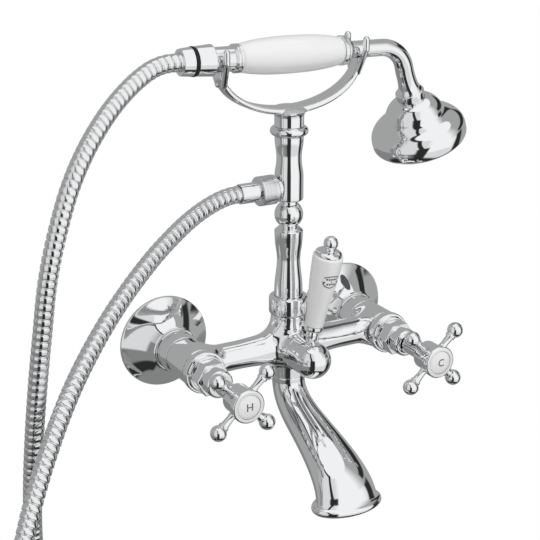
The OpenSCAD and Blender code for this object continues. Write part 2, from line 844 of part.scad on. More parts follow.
// Hollow spool with two windows: turned one way it feeds the column, the other way the spout.
module diverter_spool() {
    color("goldenrod") from_wall() rotate([0, 0, -lever_turn]) difference() {
        union() {
            rod(spool_r, spool_rear, spool_front);
            rod(stem_d / 2, spool_front - 1, stem_end);
        }
        rod(spool_r - 3, spool_rear - 1, spool_front - 4);
        for (a = [135, 225]) rotate([0, 0, a]) translate([0, 0, port_out]) along_x()
            rod(port_d / 2, 2, spool_r + 2);
        ring(stem_d / 2 + 1, stem_d / 2 - 1.9, boss_face - 4, boss_face - 2);
    }
}

module diverter_seal() {
    color("dimgray") from_wall() rotate_extrude()
        translate([stem_d / 2 - 0.93, boss_face - 3]) circle(r = 0.92, $fn = 32);
}

// Domed cap with the foot of the lever.
module diverter_cap() {
    foot = lever_neck_d / 2;
    color("silver") difference() {
        union() {
            from_wall() turned(concat([[0, cap_rear], [cap_r - 0.4, cap_rear], [cap_r, cap_rear + 0.4]],
                arc([0, cap_end], cap_r, 0, 90, 12)));
            on_lever() turned(concat([[0, cap_r - 5]], bez([foot + 3, cap_r - 5], [foot + 2.4, cap_r - 1],
                [foot, cap_r + 0.6], [foot, lever_foot]), [[0, lever_foot]]));
        }
        from_wall() rod(stem_d / 2 + slip_fit, cap_rear - 1, stem_end + 0.2);
        translate([0, -grub_out, 0]) rotate([0, lever_turn, 0])
            rod(grub_d / 2 + 0.05, -cap_r - 1, -stem_d / 2 + 0.4);
        on_lever() rod(lever_rod_d / 2 + slip_fit, lever_rod_low, lever_foot + 1);
    }
}

module cap_screw() {
    color("gray") translate([0, -grub_out, 0]) rotate([0, lever_turn, 0])
        rod(grub_d / 2 - 0.05, -cap_r + 1.2, -stem_d / 2 - 0.15);
}

// Chrome collar under the porcelain, with the rod that passes through it.
module lever_rod() {
    r = lever_collar_d / 2;
    color("silver") on_lever() union() {
        rod(lever_rod_d / 2, lever_rod_low + 0.3, porcelain_top - 2);
        turned(concat([[0, lever_foot], [lever_neck_d / 2, lever_foot]],
            bez([lever_neck_d / 2, lever_foot], [r - 0.4, lever_foot], [r, lever_foot + 1],
                [r, lever_foot + 2.4]), [[r - 0.4, porcelain_low], [0, porcelain_low]]));
    }
}

module lever_grip() {
    low = lever_low_d / 2;
    top = lever_top_d / 2;
    color("white") on_lever() difference() {
        turned(concat([[0, porcelain_low], [low - 0.6, porcelain_low], [low, porcelain_low + 0.6]],
            bez([low, porcelain_low + 0.8], [low + 0.8, porcelain_low + lever_len * 0.35],
                [top - 0.2, porcelain_low + lever_len * 0.6], [top, porcelain_top - 4]),
            arc([top - 2.5, porcelain_top - 2.5], 2.5, 0, 90), [[0, porcelain_top]]));
        rod(lever_rod_d / 2 + slip_fit, porcelain_low - 1, porcelain_top + 1);
    }
}

module lever_finial() {
    r = finial_cap_d / 2;
    crown = finial_low + finial_cap_h;
    ball = finial_d / 2;
    seat = asin(finial_neck_r / ball);
    color("silver") on_lever() turned(concat(
        [[0, finial_low], [r - 0.3, finial_low], [r, finial_low + 0.3]],
        bez([r, finial_low + 1], [r - 0.6, crown - 0.6], [finial_neck_r + 2.4, crown - 0.4],
            [finial_neck_r, crown]), arc([0, finial_z], ball, -90 + seat, 90, 14)));
}

// Centreline of the spout as forward and downward distances from the socket face.
spout_knee = [spout_reach * 0.313, spout_drop * 0.43];
spout_in = spout_knee + [-17.5, -7];
spout_on = spout_knee + [22, 8.8];
spout_line = concat(bez([0, 0], [0, 14], spout_in, spout_knee),
    bez(spout_knee, spout_on, [spout_reach, spout_drop - 18], [spout_reach, spout_drop]));
spout_rows = concat([for (i = [1:10]) spout_line[i]], [for (i = [12:20]) spout_line[i]],
    [spout_line[21]]);
spout_last = len(spout_rows) - 1;

function spout_len(i) = i == 0 ? norm(spout_rows[0])
    : spout_len(i - 1) + norm(spout_rows[i] - spout_rows[i - 1]);

// Direction of the centreline at row i, as forward and downward.
function spout_dir(i) = i == spout_last ? [0, 1]
    : i == 0 ? unit(spout_rows[1] - spout_rows[0]) : unit(spout_rows[i + 1] - spout_rows[i - 1]);

// One oval around a point of the centreline.
function spout_oval(p, d, a, b) = [for (k = [0:spout_sides - 1]) let (w = 360 * k / spout_sides)
    [a * cos(w), -body_reach - p[0] - b * sin(w) * d[1], socket_z - p[1] + b * sin(w) * d[0]]];

// Half axes of the spout at row i, less a wall.
function spout_axes(i, wall) = let (e = pow(spout_len(i) / spout_len(spout_last), 1.5))
    [spout_d / 2 - wall + (outlet_w - spout_d) / 2 * e, spout_d / 2 - wall + (outlet_d - spout_d) / 2 * e];

function spout_ring(i, wall) = let (a = spout_axes(i, wall))
    spout_oval(spout_rows[i], spout_dir(i), a[0], a[1]);

// The rounded lip at the outlet, one oval per angle of its section.
function lip_ring(w) = let (a = spout_axes(spout_last, 0), r = lip_d / 2)
    spout_oval([spout_reach, spout_drop - r * sin(w)], [0, 1], a[0] + r * cos(w), a[1] + r * cos(w));

// Triangles of a tube made of closed rings of n points, where the last ring meets the first.
function tube_faces(rings, n) = [for (i = [0:rings - 1]) for (k = [0:n - 1])
    let (j = (i + 1) % rings, m = (k + 1) % n, a = i * n + k, b = i * n + m, c = j * n + m, d = j * n + k)
    for (f = [[a, c, b], [a, d, c]]) f];

module spout() {
    lip = [for (w = [60, 30, 0, -30, -60, -90]) lip_ring(w)];
    outside = concat([for (i = [0:spout_last - 1]) spout_ring(i, 0)], lip);
    inside = [for (i = [spout_last:-1:0]) spout_ring(i, spout_wall)];
    rings = concat(outside, inside);
    r = spout_d / 2 + 0.4;
    base = socket_z - spout_collar_h;
    color("silver") union() {
        polyhedron([for (row = rings) for (p = row) p], tube_faces(len(rings), spout_sides));
        on_column() difference() {
            turned([[0, base], [r, base], [r, socket_z - 0.5], [r - 0.5, socket_z],
                    [spigot_d / 2, socket_z], [spigot_d / 2, spigot_top - 0.5],
                    [spigot_d / 2 - 0.5, spigot_top], [0, spigot_top]]);
            rod(spigot_d / 2 - 4, base - 1, spigot_top + 1);
            ring(spigot_d / 2 + 1, spigot_d / 2 - 2 * spout_ring_r - 0.1, spigot_top - 5.6, spigot_top - 3);
        }
    }
}

module spout_seal() {
    color("dimgray") on_column() translate([0, 0, spigot_top - 4.3]) rotate_extrude()
        translate([spigot_d / 2 - spout_ring_r + slip_fit / 2, 0]) circle(r = spout_ring_r, $fn = 32);
}

module column_nut() {
    r = column_nut_d / 2;
    inner = foot_z + foot_flange_t + 0.2;
    color("silver") on_column() difference() {
        turned(concat([[0, column_nut_low]], arc([r - 1.4, column_nut_low + 1.4], 1.4, -90, 0),
            arc([r - 2, column_nut_top - 2], 2, 0, 80), [[0, column_nut_top]]));
        rod(nipple_d / 2 + slip_fit, column_nut_low - 1, inner);
        rod(column_r + 0.2, inner - 1, column_nut_top + 1);
    }
}

module column_washer() {
    color("dimgray") on_column() ring(nipple_d / 2 - 0.5, column_bore / 2 + 1, nipple_top, foot_z);
}

// Waisted lower column, turned in one piece with the ball above it.
module lower_column() {
    r = column_r;
    waist = waist_d / 2;
    base = column_nut_top + 5;
    mid = (base + shoulder_z) / 2;
    neck = column_neck_d / 2;
    ball = column_ball_d / 2;
    seat = asin(neck / ball);
    stub = tee_z + stub_len;
    foot_r = nipple_d / 2 - rest_gap;
    color("silver") on_column() difference() {
        turned(concat([[0, foot_z], [foot_r, foot_z], [foot_r, foot_z + foot_flange_t],
            [r, foot_z + foot_flange_t]], bez([r, base], [r, base + 8], [waist, mid - 8], [waist, mid]),
            bez([waist, mid], [waist, mid + 7], [r - 0.3, mid + 8], [r, shoulder_z - 0.6]),
            [[r - 0.6, shoulder_z], [neck, shoulder_z + shoulder_rise]],
            arc([0, ball_z], ball, -90 + seat, 90 - seat, 12),
            [[neck, tee_z], [stub_r, tee_z], [stub_r, stub - 0.5], [stub_r - 0.5, stub], [0, stub]]));
        rod(column_bore / 2, foot_z - 1, stub + 1);
    }
}

// Upper column with the side outlet for the hose.
module hose_tee() {
    r = column_r;
    waist = tee_waist_d / 2;
    mid = tee_z + tee_h * 0.65;
    color("silver") on_column() difference() {
        union() {
            turned(concat([[0, tee_z], [r - 1.6, tee_z]], arc([r - 1.6, tee_z + 1.6], 1.6, -80, 0, 6),
                bez([r, tee_z + 16], [r, tee_z + 22], [waist, mid - 6], [waist, mid]),
                bez([waist, mid], [waist, mid + 6], [r, tee_top - 8], [r, tee_top - 0.6]),
                [[r - 0.6, tee_top], [0, tee_top]]));
            translate([0, 0, hose_z]) along_x() turned([[0, outlet_end], [outlet_r - 0.6, outlet_end],
                [outlet_r, outlet_end + 0.6], [outlet_r, outlet_x + 0.4], [outlet_r - 1, outlet_x + 0.8],
                [outlet_r - 1, 0], [0, 0]]);
        }
        rod(stub_r + slip_fit, tee_z - 1, tee_z + stub_len + 0.2);
        rod(column_bore / 2, tee_z - 1, hose_z + column_bore / 2);
        translate([0, 0, hose_z]) along_x() rod(column_bore / 2, outlet_end - 1, 0);
        rod(cradle_spigot_r + slip_fit, tee_top - cradle_spigot_len, tee_top + 1);
    }
}

module cradle_ring() {
    bead = bead_h / 2;
    color("silver") on_column() rotate_extrude() translate([0, tee_top]) union() {
        translate([cradle_spigot_r + slip_fit, 0]) square([bead_d / 2 - bead - cradle_spigot_r, bead_h]);
        translate([bead_d / 2 - bead, bead]) circle(r = bead, $fn = 48);
    }
}

// Half oval of the band, seen along Y.
module band_outline() {
    low = [for (i = [0:36]) let (w = 180 + 5 * i) [band_out * cos(w), (band_drop + band_t) * sin(w)]];
    high = [for (i = [36:-1:0]) let (w = 180 + 5 * i) [band_in * cos(w), band_drop * sin(w)]];
    polygon(concat([[-band_out, band_end]], low, [[band_out, band_end], [band_in, band_end]], high,
                   [[-band_in, band_end]]));
}

// Round bar between two points.
module bar(r, from, to) {
    v = to - from;
    translate(from) rotate([0, acos(v[2] / norm(v)), atan2(v[1], v[0])]) rod(r, 0, norm(v));
}

// Upright tab with round ends, on a prong that leans out from the end of the band.
module tab(x_side, y_side) {
    r = tab_d / 2;
    low = tab_rise - tab_len;
    root = [x_side * (band_in + band_end_t / 4), y_side * (band_end_w / 2 - prong_d / 2 - 0.2), -prong_sink];
    foot = [x_side * tab_x, y_side * tab_set, low];
    translate([foot[0], foot[1], 0]) turned(concat(arc([0, low + r], r, -90, 0, 6),
        arc([0, tab_rise - r], r, 0, 90, 6)));
    bar(prong_d / 2, root, foot + [0, 0, r]);
}

// Plan of the band, wide at the neck and narrow at the ends.
module band_plan() {
    mid = band_w / 2;
    end = band_end_w / 2;
    polygon([[-band_out, end], [0, mid], [band_out, end], [band_out, -end], [0, -mid], [-band_out, -end]]);
}

module cradle() {
    r = cradle_neck_d / 2;
    base = bead_top - band_z;
    low = -band_drop - band_t;
    far = band_out + tab_d;
    flare = bez([r, low - 3], [r, low - 1.4], [r + 0.6, low - 0.4], [r + 1.6, low + 0.8]);
    color("silver") on_column() translate([0, 0, band_z]) difference() {
        union() {
            intersection() {
                union() {
                    translate([0, band_w, 0]) rotate([90, 0, 0]) linear_extrude(2 * band_w) band_outline();
                    turned(concat([[0, low - 3]], flare, [[r, low + 2], [0, low + 2]]));
                }
                translate([0, 0, 2 * low]) linear_extrude(-3 * low) band_plan();
            }
            for (x = [-1, 1]) for (y = [-1, 1]) tab(x, y);
            rod(cradle_spigot_r, base - cradle_spigot_len + 0.4, base + 1);
            turned([[0, base], [r - 0.4, base], [r, base + 0.4], [r, low - 1],
                [band_w / 2, low + 1.4], [0, low + 1.4]]);
        }
        translate([0, 0, notch_rise]) along_x() rod(notch_r, -far, far);
    }
}

module handset_grip() {
    r = grip_d / 2;
    rim = grip_end_d / 2;
    half = grip_half;
    color("white") on_handset() along_x() difference() {
        turned(concat([[0, -half], [rim - 0.6, -half]], bez([rim, -half + 0.8], [rim + 2, -half + 12],
            [r, -half * 0.5], [r, 0]),
            bez([r, 0], [r, half * 0.5], [rim + 2, half - 12], [rim, half - 0.8]),
            [[rim - 0.6, half], [0, half]]));
        rod(tube_r + slip_fit, -half - 1, half + 1);
    }
}

// Two grooved cups that close the ends of the porcelain.
module grip_ferrules() {
    near = ferrule_r - 1.2;
    left = -grip_half - ferrule_h;
    left_groove = -grip_half - groove_set;
    cup = ferrule_r + 0.5;
    right_groove = grip_half + 1.4 * groove_set;
    slim = tube_r + groove_set;
    end = grip_half + cup_len;
    color("silver") on_handset() along_x() {
        difference() {
            turned([[0, left], [near - 0.4, left], [near, left + 0.4], [ferrule_r, left + 1.7],
                [ferrule_r, left_groove - groove_w], [ferrule_r - groove_d, left_groove - groove_w],
                [ferrule_r - groove_d, left_groove], [ferrule_r, left_groove], [ferrule_r, -grip_half],
                [0, -grip_half]]);
            rod(tube_r + slip_fit, left - 1, 0);
        }
        difference() {
            turned(concat([[0, grip_half], [cup, grip_half], [cup, right_groove],
                [cup - groove_d, right_groove], [cup - groove_d, right_groove + groove_w]],
                bez([cup - 0.2, right_groove + groove_w], [cup - 0.2, end - 2], [slim + 0.6, end - 1.6],
                    [slim, end]), [[0, end]]));
            rod(tube_r + slip_fit, 0, end + 1);
        }
    }
}

// Neck that lies in the left notch and takes the hose nut.
module handset_inlet() {
    r = inlet_neck_d / 2;
    right = -grip_half - ferrule_h;
    color("silver") on_handset() along_x() difference() {
        turned([[0, nipple_end], [hand_thread_r - 0.6, nipple_end], [hand_thread_r, nipple_end + 0.6],
            [hand_thread_r, neck_end], [r, neck_end], [r, right - 0.4], [r - 0.4, right], [0, right]]);
        rod(tube_bore / 2, nipple_end - 1, right + 1);
        rod(tube_r + slip_fit, tube_x0 - 0.2, right + 1);
    }
}

// The bend of the tube, one degree longer at each end so that it joins the straight parts.
module tube_bend(r) {
    translate([bend_x, 0, -bend_r]) rotate([90, 0, 0]) rotate([0, 0, head_tilt - 1])
        rotate_extrude(angle = 92 - head_tilt) translate([bend_r, 0]) circle(r = r);
}

// Tube through the grip, the bend and the flared end over the head.
module handset_tube() {
    thread_end = head_drop + head_nipple_len;
    flare = bez([tube_r, head_drop - 12], [tube_r, head_drop - 5], [flare_r - 1.6, head_drop - 3],
                [flare_r, head_drop - 0.6]);
    color("silver") difference() {
        union() {
            on_handset() {
                along_x() rod(tube_r, tube_x0, bend_x);
                tube_bend(tube_r + 0.03);
            }
            on_head() turned(concat([[0, 0], [tube_r, 0]], flare, [[flare_r, head_drop],
                [head_nipple_r, head_drop], [head_nipple_r, thread_end], [0, thread_end]]));
        }
        on_handset() {
            along_x() rod(tube_bore / 2, tube_x0 - 1, bend_x);
            tube_bend(tube_bore / 2 + 0.03);
        }
        on_head() rod(tube_bore / 2, 0, thread_end + 1);
    }
}

module head_collar() {
    r = head_collar_d / 2;
    color("silver") on_head() turned([[head_nipple_r + slip_fit, head_drop], [r - 0.6, head_drop],
        [r, head_drop + 0.6], [r, collar_low - 0.6], [r - 0.6, collar_low],
        [head_nipple_r + slip_fit, collar_low]]);
}

module shower_head() {
    top = head_collar_d / 2 - 0.3;
    waist = head_waist_d / 2;
    r = head_d / 2;
    waist_z = head_top + head_h * 0.32;
    low = head_top + head_h;
    thread_end = head_drop + head_nipple_len + 1.5;
    shoulder = bez([top, head_top], [top + 6, head_top], [waist - 1.4, waist_z - 7], [waist, waist_z]);
    bell = bez([waist, waist_z], [waist + 1.2, waist_z + 6], [r + 0.2, waist_z + 6.5], [r, low - 6]);
    rim = arc([r - 3, low - 3], 3, 10, 90, 6);
    inner = [for (i = [10:-1:1]) bell[i] + [-head_wall - 0.6, 1]];
    dome = [for (i = [10:-1:3]) shoulder[i] + [-head_wall - 0.6, 1.6]];
    ledge = r - 3.6;
    color("silver") on_head() difference() {
        turned(concat([[0, head_top]], shoulder, bell, rim, [[ledge, low], [ledge, face_z]],
            [for (p = inner) if (p[1] < face_z && p[0] < ledge) p], dome, [[0, dome[7][1]]]));
        rod(head_nipple_r + slip_fit, head_top - 1, thread_end);
        rod(tube_bore / 2, head_top, dome[7][1] + 2);
    }
}

// Perforated plate in the mouth of the head.
module head_face() {
    r = head_d / 2 - 3.6 - slip_fit;
    low = face_z + face_t;
    color("dimgray") on_head() difference() {
        rod(r, face_z, low);
        for (row = [[1, 0], [6, 0.28], [12, 0.52], [18, 0.76]]) for (k = [1:row[0]])
            rotate([0, 0, 360 * k / row[0]]) translate([r * row[1], 0, 0])
                rod(nozzle_d / 2, face_z - 1, low + 1);
    }
}

module cone_nut() {
    r = cone_nut_d / 2;
    small = r - 0.8;
    right = neck_end - 0.1;
    lip = swivel_seat - 0.2;
    color("silver") on_handset() along_x() difference() {
        turned([[0, cone_nut_end], [small - 0.5, cone_nut_end], [small, cone_nut_end + 0.5],
                [r, right - 0.6], [r - 0.6, right], [0, right]]);
        rod(hand_thread_r + slip_fit, lip, right + 1);
        rod(swivel_neck_r + 0.2, cone_nut_end - 1, lip + 1);
    }
}

module handset_washer() {
    color("dimgray") on_handset() along_x()
        ring(hand_thread_r - 0.2, tube_bore / 2 + 0.4, hand_washer_end, nipple_end);
}

// Rubber ring that closes the gap between the nut and the swivel.
module swivel_ring() {
    color("dimgray") on_handset() along_x()
        ring(cone_nut_d / 2 - 0.6, swivel_neck_r + slip_fit, swivel_body, ring_front);
}

// Conical sleeve that swivels in the nut and holds the hose.
module hose_swivel() {
    big = cone_nut_d / 2 - 0.9;
    small = swivel_d / 2;
    lip_r = hand_thread_r - slip_fit;
    color("silver") on_handset() along_x() difference() {
        turned([[0, swivel_end], [small - 0.5, swivel_end], [small, swivel_end + 0.5],
                [big, swivel_body - 0.4], [big - 0.4, swivel_body], [swivel_neck_r, swivel_body],
                [swivel_neck_r, swivel_seat],
                [lip_r, swivel_seat], [lip_r, hand_washer_end], [0, hand_washer_end]]);
        rod(socket_r, swivel_end - 1, hose_start);
        rod(hose_bore / 2, hose_start - 1, hand_washer_end + 1);
    }
}

module column_hose_nut() {
    r = hose_nut_d / 2;
    lip = ferrule_lip_end - 0.2;
    right = outlet_x - 0.1;
    color("silver") on_column() translate([0, 0, hose_z]) along_x() difference() {
        turned([[0, hose_nut_end], [r - 1, hose_nut_end], [r, hose_nut_end + 1], [r, right - 0.6],
                [r - 0.6, right], [0, right]]);
        rod(outlet_r + slip_fit, lip, right + 1);
        rod(hose_ferrule_r + 0.2, hose_nut_end - 1, lip + 1);
    }
}

module column_hose_washer() {
    color("dimgray") on_column() translate([0, 0, hose_z]) along_x()
        ring(outlet_r - 0.2, column_bore / 2 + 0.4, outlet_washer_end, outlet_end);
}

// Sleeve with a lip inside the nut, which holds the end of the hose.
module column_hose_ferrule() {
    r = hose_ferrule_r;
    lip_r = outlet_r - slip_fit;
    color("silver") on_column() translate([0, 0, hose_z]) along_x() difference() {
        turned([[0, hose_ferrule_end], [r - 0.3, hose_ferrule_end], [r, hose_ferrule_end + 0.3],
                [r, ferrule_lip_end], [lip_r, ferrule_lip_end], [lip_r, outlet_washer_end],
                [0, outlet_washer_end]]);
        rod(socket_r, hose_ferrule_end - 1, hose_stop);
        rod(hose_bore / 2, hose_stop - 1, outlet_washer_end + 1);
    }
}

// Route of the hose: it leaves the handset, hangs in a loop and rises to the column.
hose_axis = [-cos(handset_tilt), 0, sin(handset_tilt)];
hose_first = [0, -body_reach, handset_z] - hose_start * hose_axis;
hose_last = [hose_stop, -body_reach, hose_z];
hose_hang = [[-103, -52.4, 206.8], [-128, -62, 193.5], [-152, -76, 175], [-171, -88, 153],
    [-185, -97, 127], [-195, -102, 98], [-201, -104, 66], [-206, -104, 32], [-210, -103, -4],
    [-212, -99, -44], [-210, -90, -88], [-203, -79, -132], [-191, -66, -176], [-177, -53, -220],
    [-165, -43, -266], [-161, -41, -313], [-169, -53, -354], [-188, -81, -382], [-214, -118, -393],
    [-242, -156, -387], [-266, -190, -363], [-283, -214, -325], [-291, -227, -280], [-291, -228, -232],
    [-284, -219, -185], [-274, -204, -142], [-261, -184, -102], [-247, -164, -66], [-231, -146, -34],
    [-211, -129, -2], [-187, -111, 28], [-160, -93, 53], [-131, -77, 75], [-100, -63, 94.5],
    [-68, -53, 110]];
hose_route = concat([hose_first, hose_first + 12 * hose_axis], hose_hang,
    [hose_last - [12, 0, 0], hose_last]);
hose_end = len(hose_route) - 1;

function hose_tangent(i) = i < 2 ? hose_axis : i > hose_end - 2 ? [1, 0, 0]
    : unit(hose_route[i + 1] - hose_route[i - 1]);

// Point of the route at parameter u, where whole numbers are the route points.
function hose_at(u) = let (i = min(floor(u), hose_end - 1), t = u - i,
    a = hose_route[i], b = hose_route[i + 1], l = norm(b - a))
    a * (1 + 2 * t) * (1 - t) * (1 - t) + b * t * t * (3 - 2 * t)
    + hose_tangent(i) * l * t * (1 - t) * (1 - t) - hose_tangent(i + 1) * l * t * t * (1 - t);

hose_steps = 12 * hose_end;

// Length along the route against its parameter.
function hose_table(pts) = [for (i = 0, s = 0; i <= hose_steps;
    s = s + (i < hose_steps ? norm(pts[i + 1] - pts[i]) : 0), i = i + 1) [s, i / 12]];

// One ring of eight points across the hose.
function hose_ring(u, r) = let (a = hose_at(max(u - 0.02, 0)), b = hose_at(min(u + 0.02, hose_end)),
    d = unit(b - a), e = unit(cross([0.6, -0.8, 0], d)), f = cross(d, e), c = hose_at(u))
    [for (k = [0:7]) c + r * (cos(45 * k) * e + sin(45 * k) * f)];

module shower_hose() {
    table = hose_table([for (i = [0:hose_steps]) hose_at(i / 12)]);
    total = table[hose_steps][0];
    rows = 2 * rib_count;
    r = hose_d / 2;
    outside = [for (i = [0:rows])
        hose_ring(lookup(total * i / rows, table), i % 2 == 0 ? r - rib_depth : r)];
    inside = [for (i = [rows:-4:0]) hose_ring(lookup(total * i / rows, table), hose_bore / 2)];
    rings = concat(outside, inside);
    color("lightgray") polyhedron([for (row = rings) for (p = row) p], tube_faces(len(rings), 8));
}

mixer_body();
hot_union();
cold_union();
hot_flange();
cold_flange();
hot_union_nut();
cold_union_nut();
inlet_washers();
seat_seals();
hot_seat_disc();
cold_seat_disc();
hot_turn_disc();
cold_turn_disc();
hot_bonnet();
cold_bonnet();
hot_collar();
cold_collar();
hot_gland();
cold_gland();
hot_spindle();
cold_spindle();
hot_handle();
cold_handle();
hot_handle_screw();
cold_handle_screw();
hot_bezel();
cold_bezel();
hot_index();
cold_index();
diverter_bush();
diverter_spool();
diverter_seal();
diverter_cap();
cap_screw();
lever_rod();
lever_grip();
lever_finial();
spout();
spout_seal();
column_nut();
column_washer();
lower_column();
hose_tee();
cradle_ring();
cradle();
handset_grip();
grip_ferrules();
handset_inlet();
handset_tube();
head_collar();
shower_head();
head_face();
cone_nut();
handset_washer();
swivel_ring();
hose_swivel();
column_hose_nut();
column_hose_washer();
column_hose_ferrule();
shower_hose();
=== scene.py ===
# %% [markdown]
# # Bath shower mixer
# A wall-mounted bath mixer in polished chrome and white porcelain: two cross handles, a lever that
# sends the water to the spout or the shower, and a handset that lies in a cradle on a column.
# Almost every piece was turned on a lathe, so most of this lesson draws half an outline and spins it.

# %% Start from the CAD frame
import json
import math

import bpy
import numpy as np
from mathutils import Matrix, Vector


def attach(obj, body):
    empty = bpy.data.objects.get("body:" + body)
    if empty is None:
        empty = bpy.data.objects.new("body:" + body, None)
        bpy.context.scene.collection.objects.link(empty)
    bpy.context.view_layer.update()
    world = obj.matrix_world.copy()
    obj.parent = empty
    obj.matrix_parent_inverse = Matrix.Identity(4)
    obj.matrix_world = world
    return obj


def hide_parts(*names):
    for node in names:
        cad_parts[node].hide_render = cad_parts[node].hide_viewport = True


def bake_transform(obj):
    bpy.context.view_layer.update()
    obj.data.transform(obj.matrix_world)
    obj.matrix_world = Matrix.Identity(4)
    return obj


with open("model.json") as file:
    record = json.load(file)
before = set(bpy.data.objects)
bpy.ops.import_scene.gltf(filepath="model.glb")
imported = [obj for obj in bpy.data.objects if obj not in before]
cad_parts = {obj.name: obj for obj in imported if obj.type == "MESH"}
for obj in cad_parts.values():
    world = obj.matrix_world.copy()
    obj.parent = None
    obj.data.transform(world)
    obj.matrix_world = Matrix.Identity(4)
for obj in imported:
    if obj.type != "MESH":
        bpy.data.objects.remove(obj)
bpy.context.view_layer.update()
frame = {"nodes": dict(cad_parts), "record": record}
MM = 0.001

# %% [markdown]
# ## Camera
# The viewing angle was worked out from the wall flanges, the column and the ovals of the handles.
# A long lens from about a metre away keeps the upright lines almost parallel, as in a catalogue.

# %% Camera
CAMERA_AT = (-0.45478, -0.84184, 0.37440)
LOOK_DOWN, LOOK_RIGHT = 19.23, 29.07
bpy.ops.object.select_all(action="DESELECT")
bpy.ops.object.camera_add(
    location=CAMERA_AT,
    rotation=(math.radians(90 - LOOK_DOWN), 0, math.radians(-LOOK_RIGHT)),
)
camera = bpy.context.object
camera.name = "catalogue_camera"
camera.data.lens = 91.8
camera.data.sensor_width = 36
camera.data.clip_start = 0.01
bpy.context.scene.camera = camera
print("camera at", tuple(round(v, 3) for v in camera.location))

# %% [markdown]
# ## Colours and nodes
# Colours are written as sRGB hex values, as a paint chart gives them. Shaders work in linear light,
# so one function converts them. A second small function adds a node, sets it up and links it.


# %% Colour and node helpers
def linear(hex_colour):
    parts = [int(hex_colour[i : i + 2], 16) / 255 for i in (1, 3, 5)]
    return [c / 12.92 if c <= 0.04045 else ((c + 0.055) / 1.055) ** 2.4 for c in parts] + [1]


def node(tree, kind, settings=None, inputs=None):
    made = tree.nodes.new(kind)
    for key, value in (settings or {}).items():
        setattr(made, key, value)
    for key, value in (inputs or {}).items():
        if isinstance(value, bpy.types.NodeSocket):
            tree.links.new(value, made.inputs[key])
        else:
            made.inputs[key].default_value = value
    return made


def new_material(name):
    material = bpy.data.materials.new(name)
    material.use_nodes = True
    return material, material.node_tree, material.node_tree.nodes["Principled BSDF"]


def mottled(tree, shader, scale, dark, light):
    """A base colour that wavers between two tones."""
    place = node(tree, "ShaderNodeTexCoord")
    noise = node(tree, "ShaderNodeTexNoise", None,
                 {"Vector": place.outputs["Object"], "Scale": scale, "Detail": 2})
    tint = node(tree, "ShaderNodeValToRGB", None, {"Fac": noise.outputs["Fac"]})
    tint.color_ramp.elements[0].color = linear(dark)
    tint.color_ramp.elements[1].color = linear(light)
    tree.links.new(tint.outputs["Color"], shader.inputs["Base Color"])


print("colour and node helpers ready")

# %% [markdown]
# ## Chrome plate
# Bright nickel-chrome over brass, buffed before plating. A mirror: what it shows is the studio around
# it. Buffing leaves a faint unevenness, drawn here as a slow change of roughness with patches about
# 15 mm wide, and a very shallow ripple.


# %% Chrome materials
def polished(name, colour, low, high, ripple):
    material, tree, shader = new_material(name)
    place = node(tree, "ShaderNodeTexCoord")
    patches = node(tree, "ShaderNodeTexNoise", None,
                   {"Vector": place.outputs["Object"], "Scale": 65, "Detail": 3})
    rough = node(tree, "ShaderNodeMapRange", None,
                 {"Value": patches.outputs["Fac"], "To Min": low, "To Max": high})
    tree.links.new(rough.outputs["Result"], shader.inputs["Roughness"])
    buffing = node(tree, "ShaderNodeTexNoise", None,
                   {"Vector": place.outputs["Object"], "Scale": 40, "Detail": 1})
    bump = node(tree, "ShaderNodeBump", None,
                {"Strength": ripple, "Distance": 0.0002, "Height": buffing.outputs["Fac"]})
    tree.links.new(bump.outputs["Normal"], shader.inputs["Normal"])
    shader.inputs["Base Color"].default_value = linear(colour)
    shader.inputs["Metallic"].default_value = 1
    return material


chrome = polished("chrome_plate", "#F8F9FA", 0.02, 0.05, 0.03)
hose_chrome = polished("interlocked_chrome_strip", "#F4F5F6", 0.04, 0.08, 0.03)
print("chrome ready")

# %% [markdown]
# ## Porcelain
# Slip-cast, white glazed porcelain. The glaze is glassy, so it takes a clear coat of its own and shows
# soft highlights. The body under it is not perfectly even: a very faint mottle, a few
# millimetres wide, keeps it from looking like plastic.

# %% Porcelain
porcelain, tree, shader = new_material("glazed_porcelain")
mottled(tree, shader, 120, "#E9E9E9", "#EDEDED")
shader.inputs["Roughness"].default_value = 0.3
shader.inputs["IOR"].default_value = 1.5
shader.inputs["Coat Weight"].default_value = 0.5
shader.inputs["Coat Roughness"].default_value = 0.06
print("porcelain ready")

# %% [markdown]
# ## Satin nut, brass, rubber, plastic and print
# The hose nut on the column is satin: fine turning lines run around its axis and stretch the highlight.
# Inside are machined brass, black rubber, pale ceramic and plated steel screws. The wall unions are shown
# plated too, because the flanges mirror them. The print on the porcelain is dark grey.


# %% Other materials
def grained(name, colour, other, metallic, roughness, scale, stretch=(1, 1, 1)):
    material, tree, shader = new_material(name)
    place = node(tree, "ShaderNodeTexCoord")
    turned_to = node(tree, "ShaderNodeMapping", None,
                     {"Vector": place.outputs["Object"], "Scale": stretch})
    grain = node(tree, "ShaderNodeTexNoise", None,
                 {"Vector": turned_to.outputs["Vector"], "Scale": scale, "Detail": 5})
    tint = node(tree, "ShaderNodeValToRGB", None, {"Fac": grain.outputs["Fac"]})
    tint.color_ramp.elements[0].position = 0.35
    tint.color_ramp.elements[1].position = 0.65
    tint.color_ramp.elements[0].color = linear(other)
    tint.color_ramp.elements[1].color = linear(colour)
    rough = node(tree, "ShaderNodeMapRange", None,
                 {"Value": grain.outputs["Fac"], "To Min": roughness * 0.8, "To Max": roughness * 1.2})
    bump = node(tree, "ShaderNodeBump", None,
                {"Strength": 0.1, "Distance": 0.0001, "Height": grain.outputs["Fac"]})
    tree.links.new(tint.outputs["Color"], shader.inputs["Base Color"])
    tree.links.new(rough.outputs["Result"], shader.inputs["Roughness"])
    tree.links.new(bump.outputs["Normal"], shader.inputs["Normal"])
    shader.inputs["Metallic"].default_value = metallic
    return material


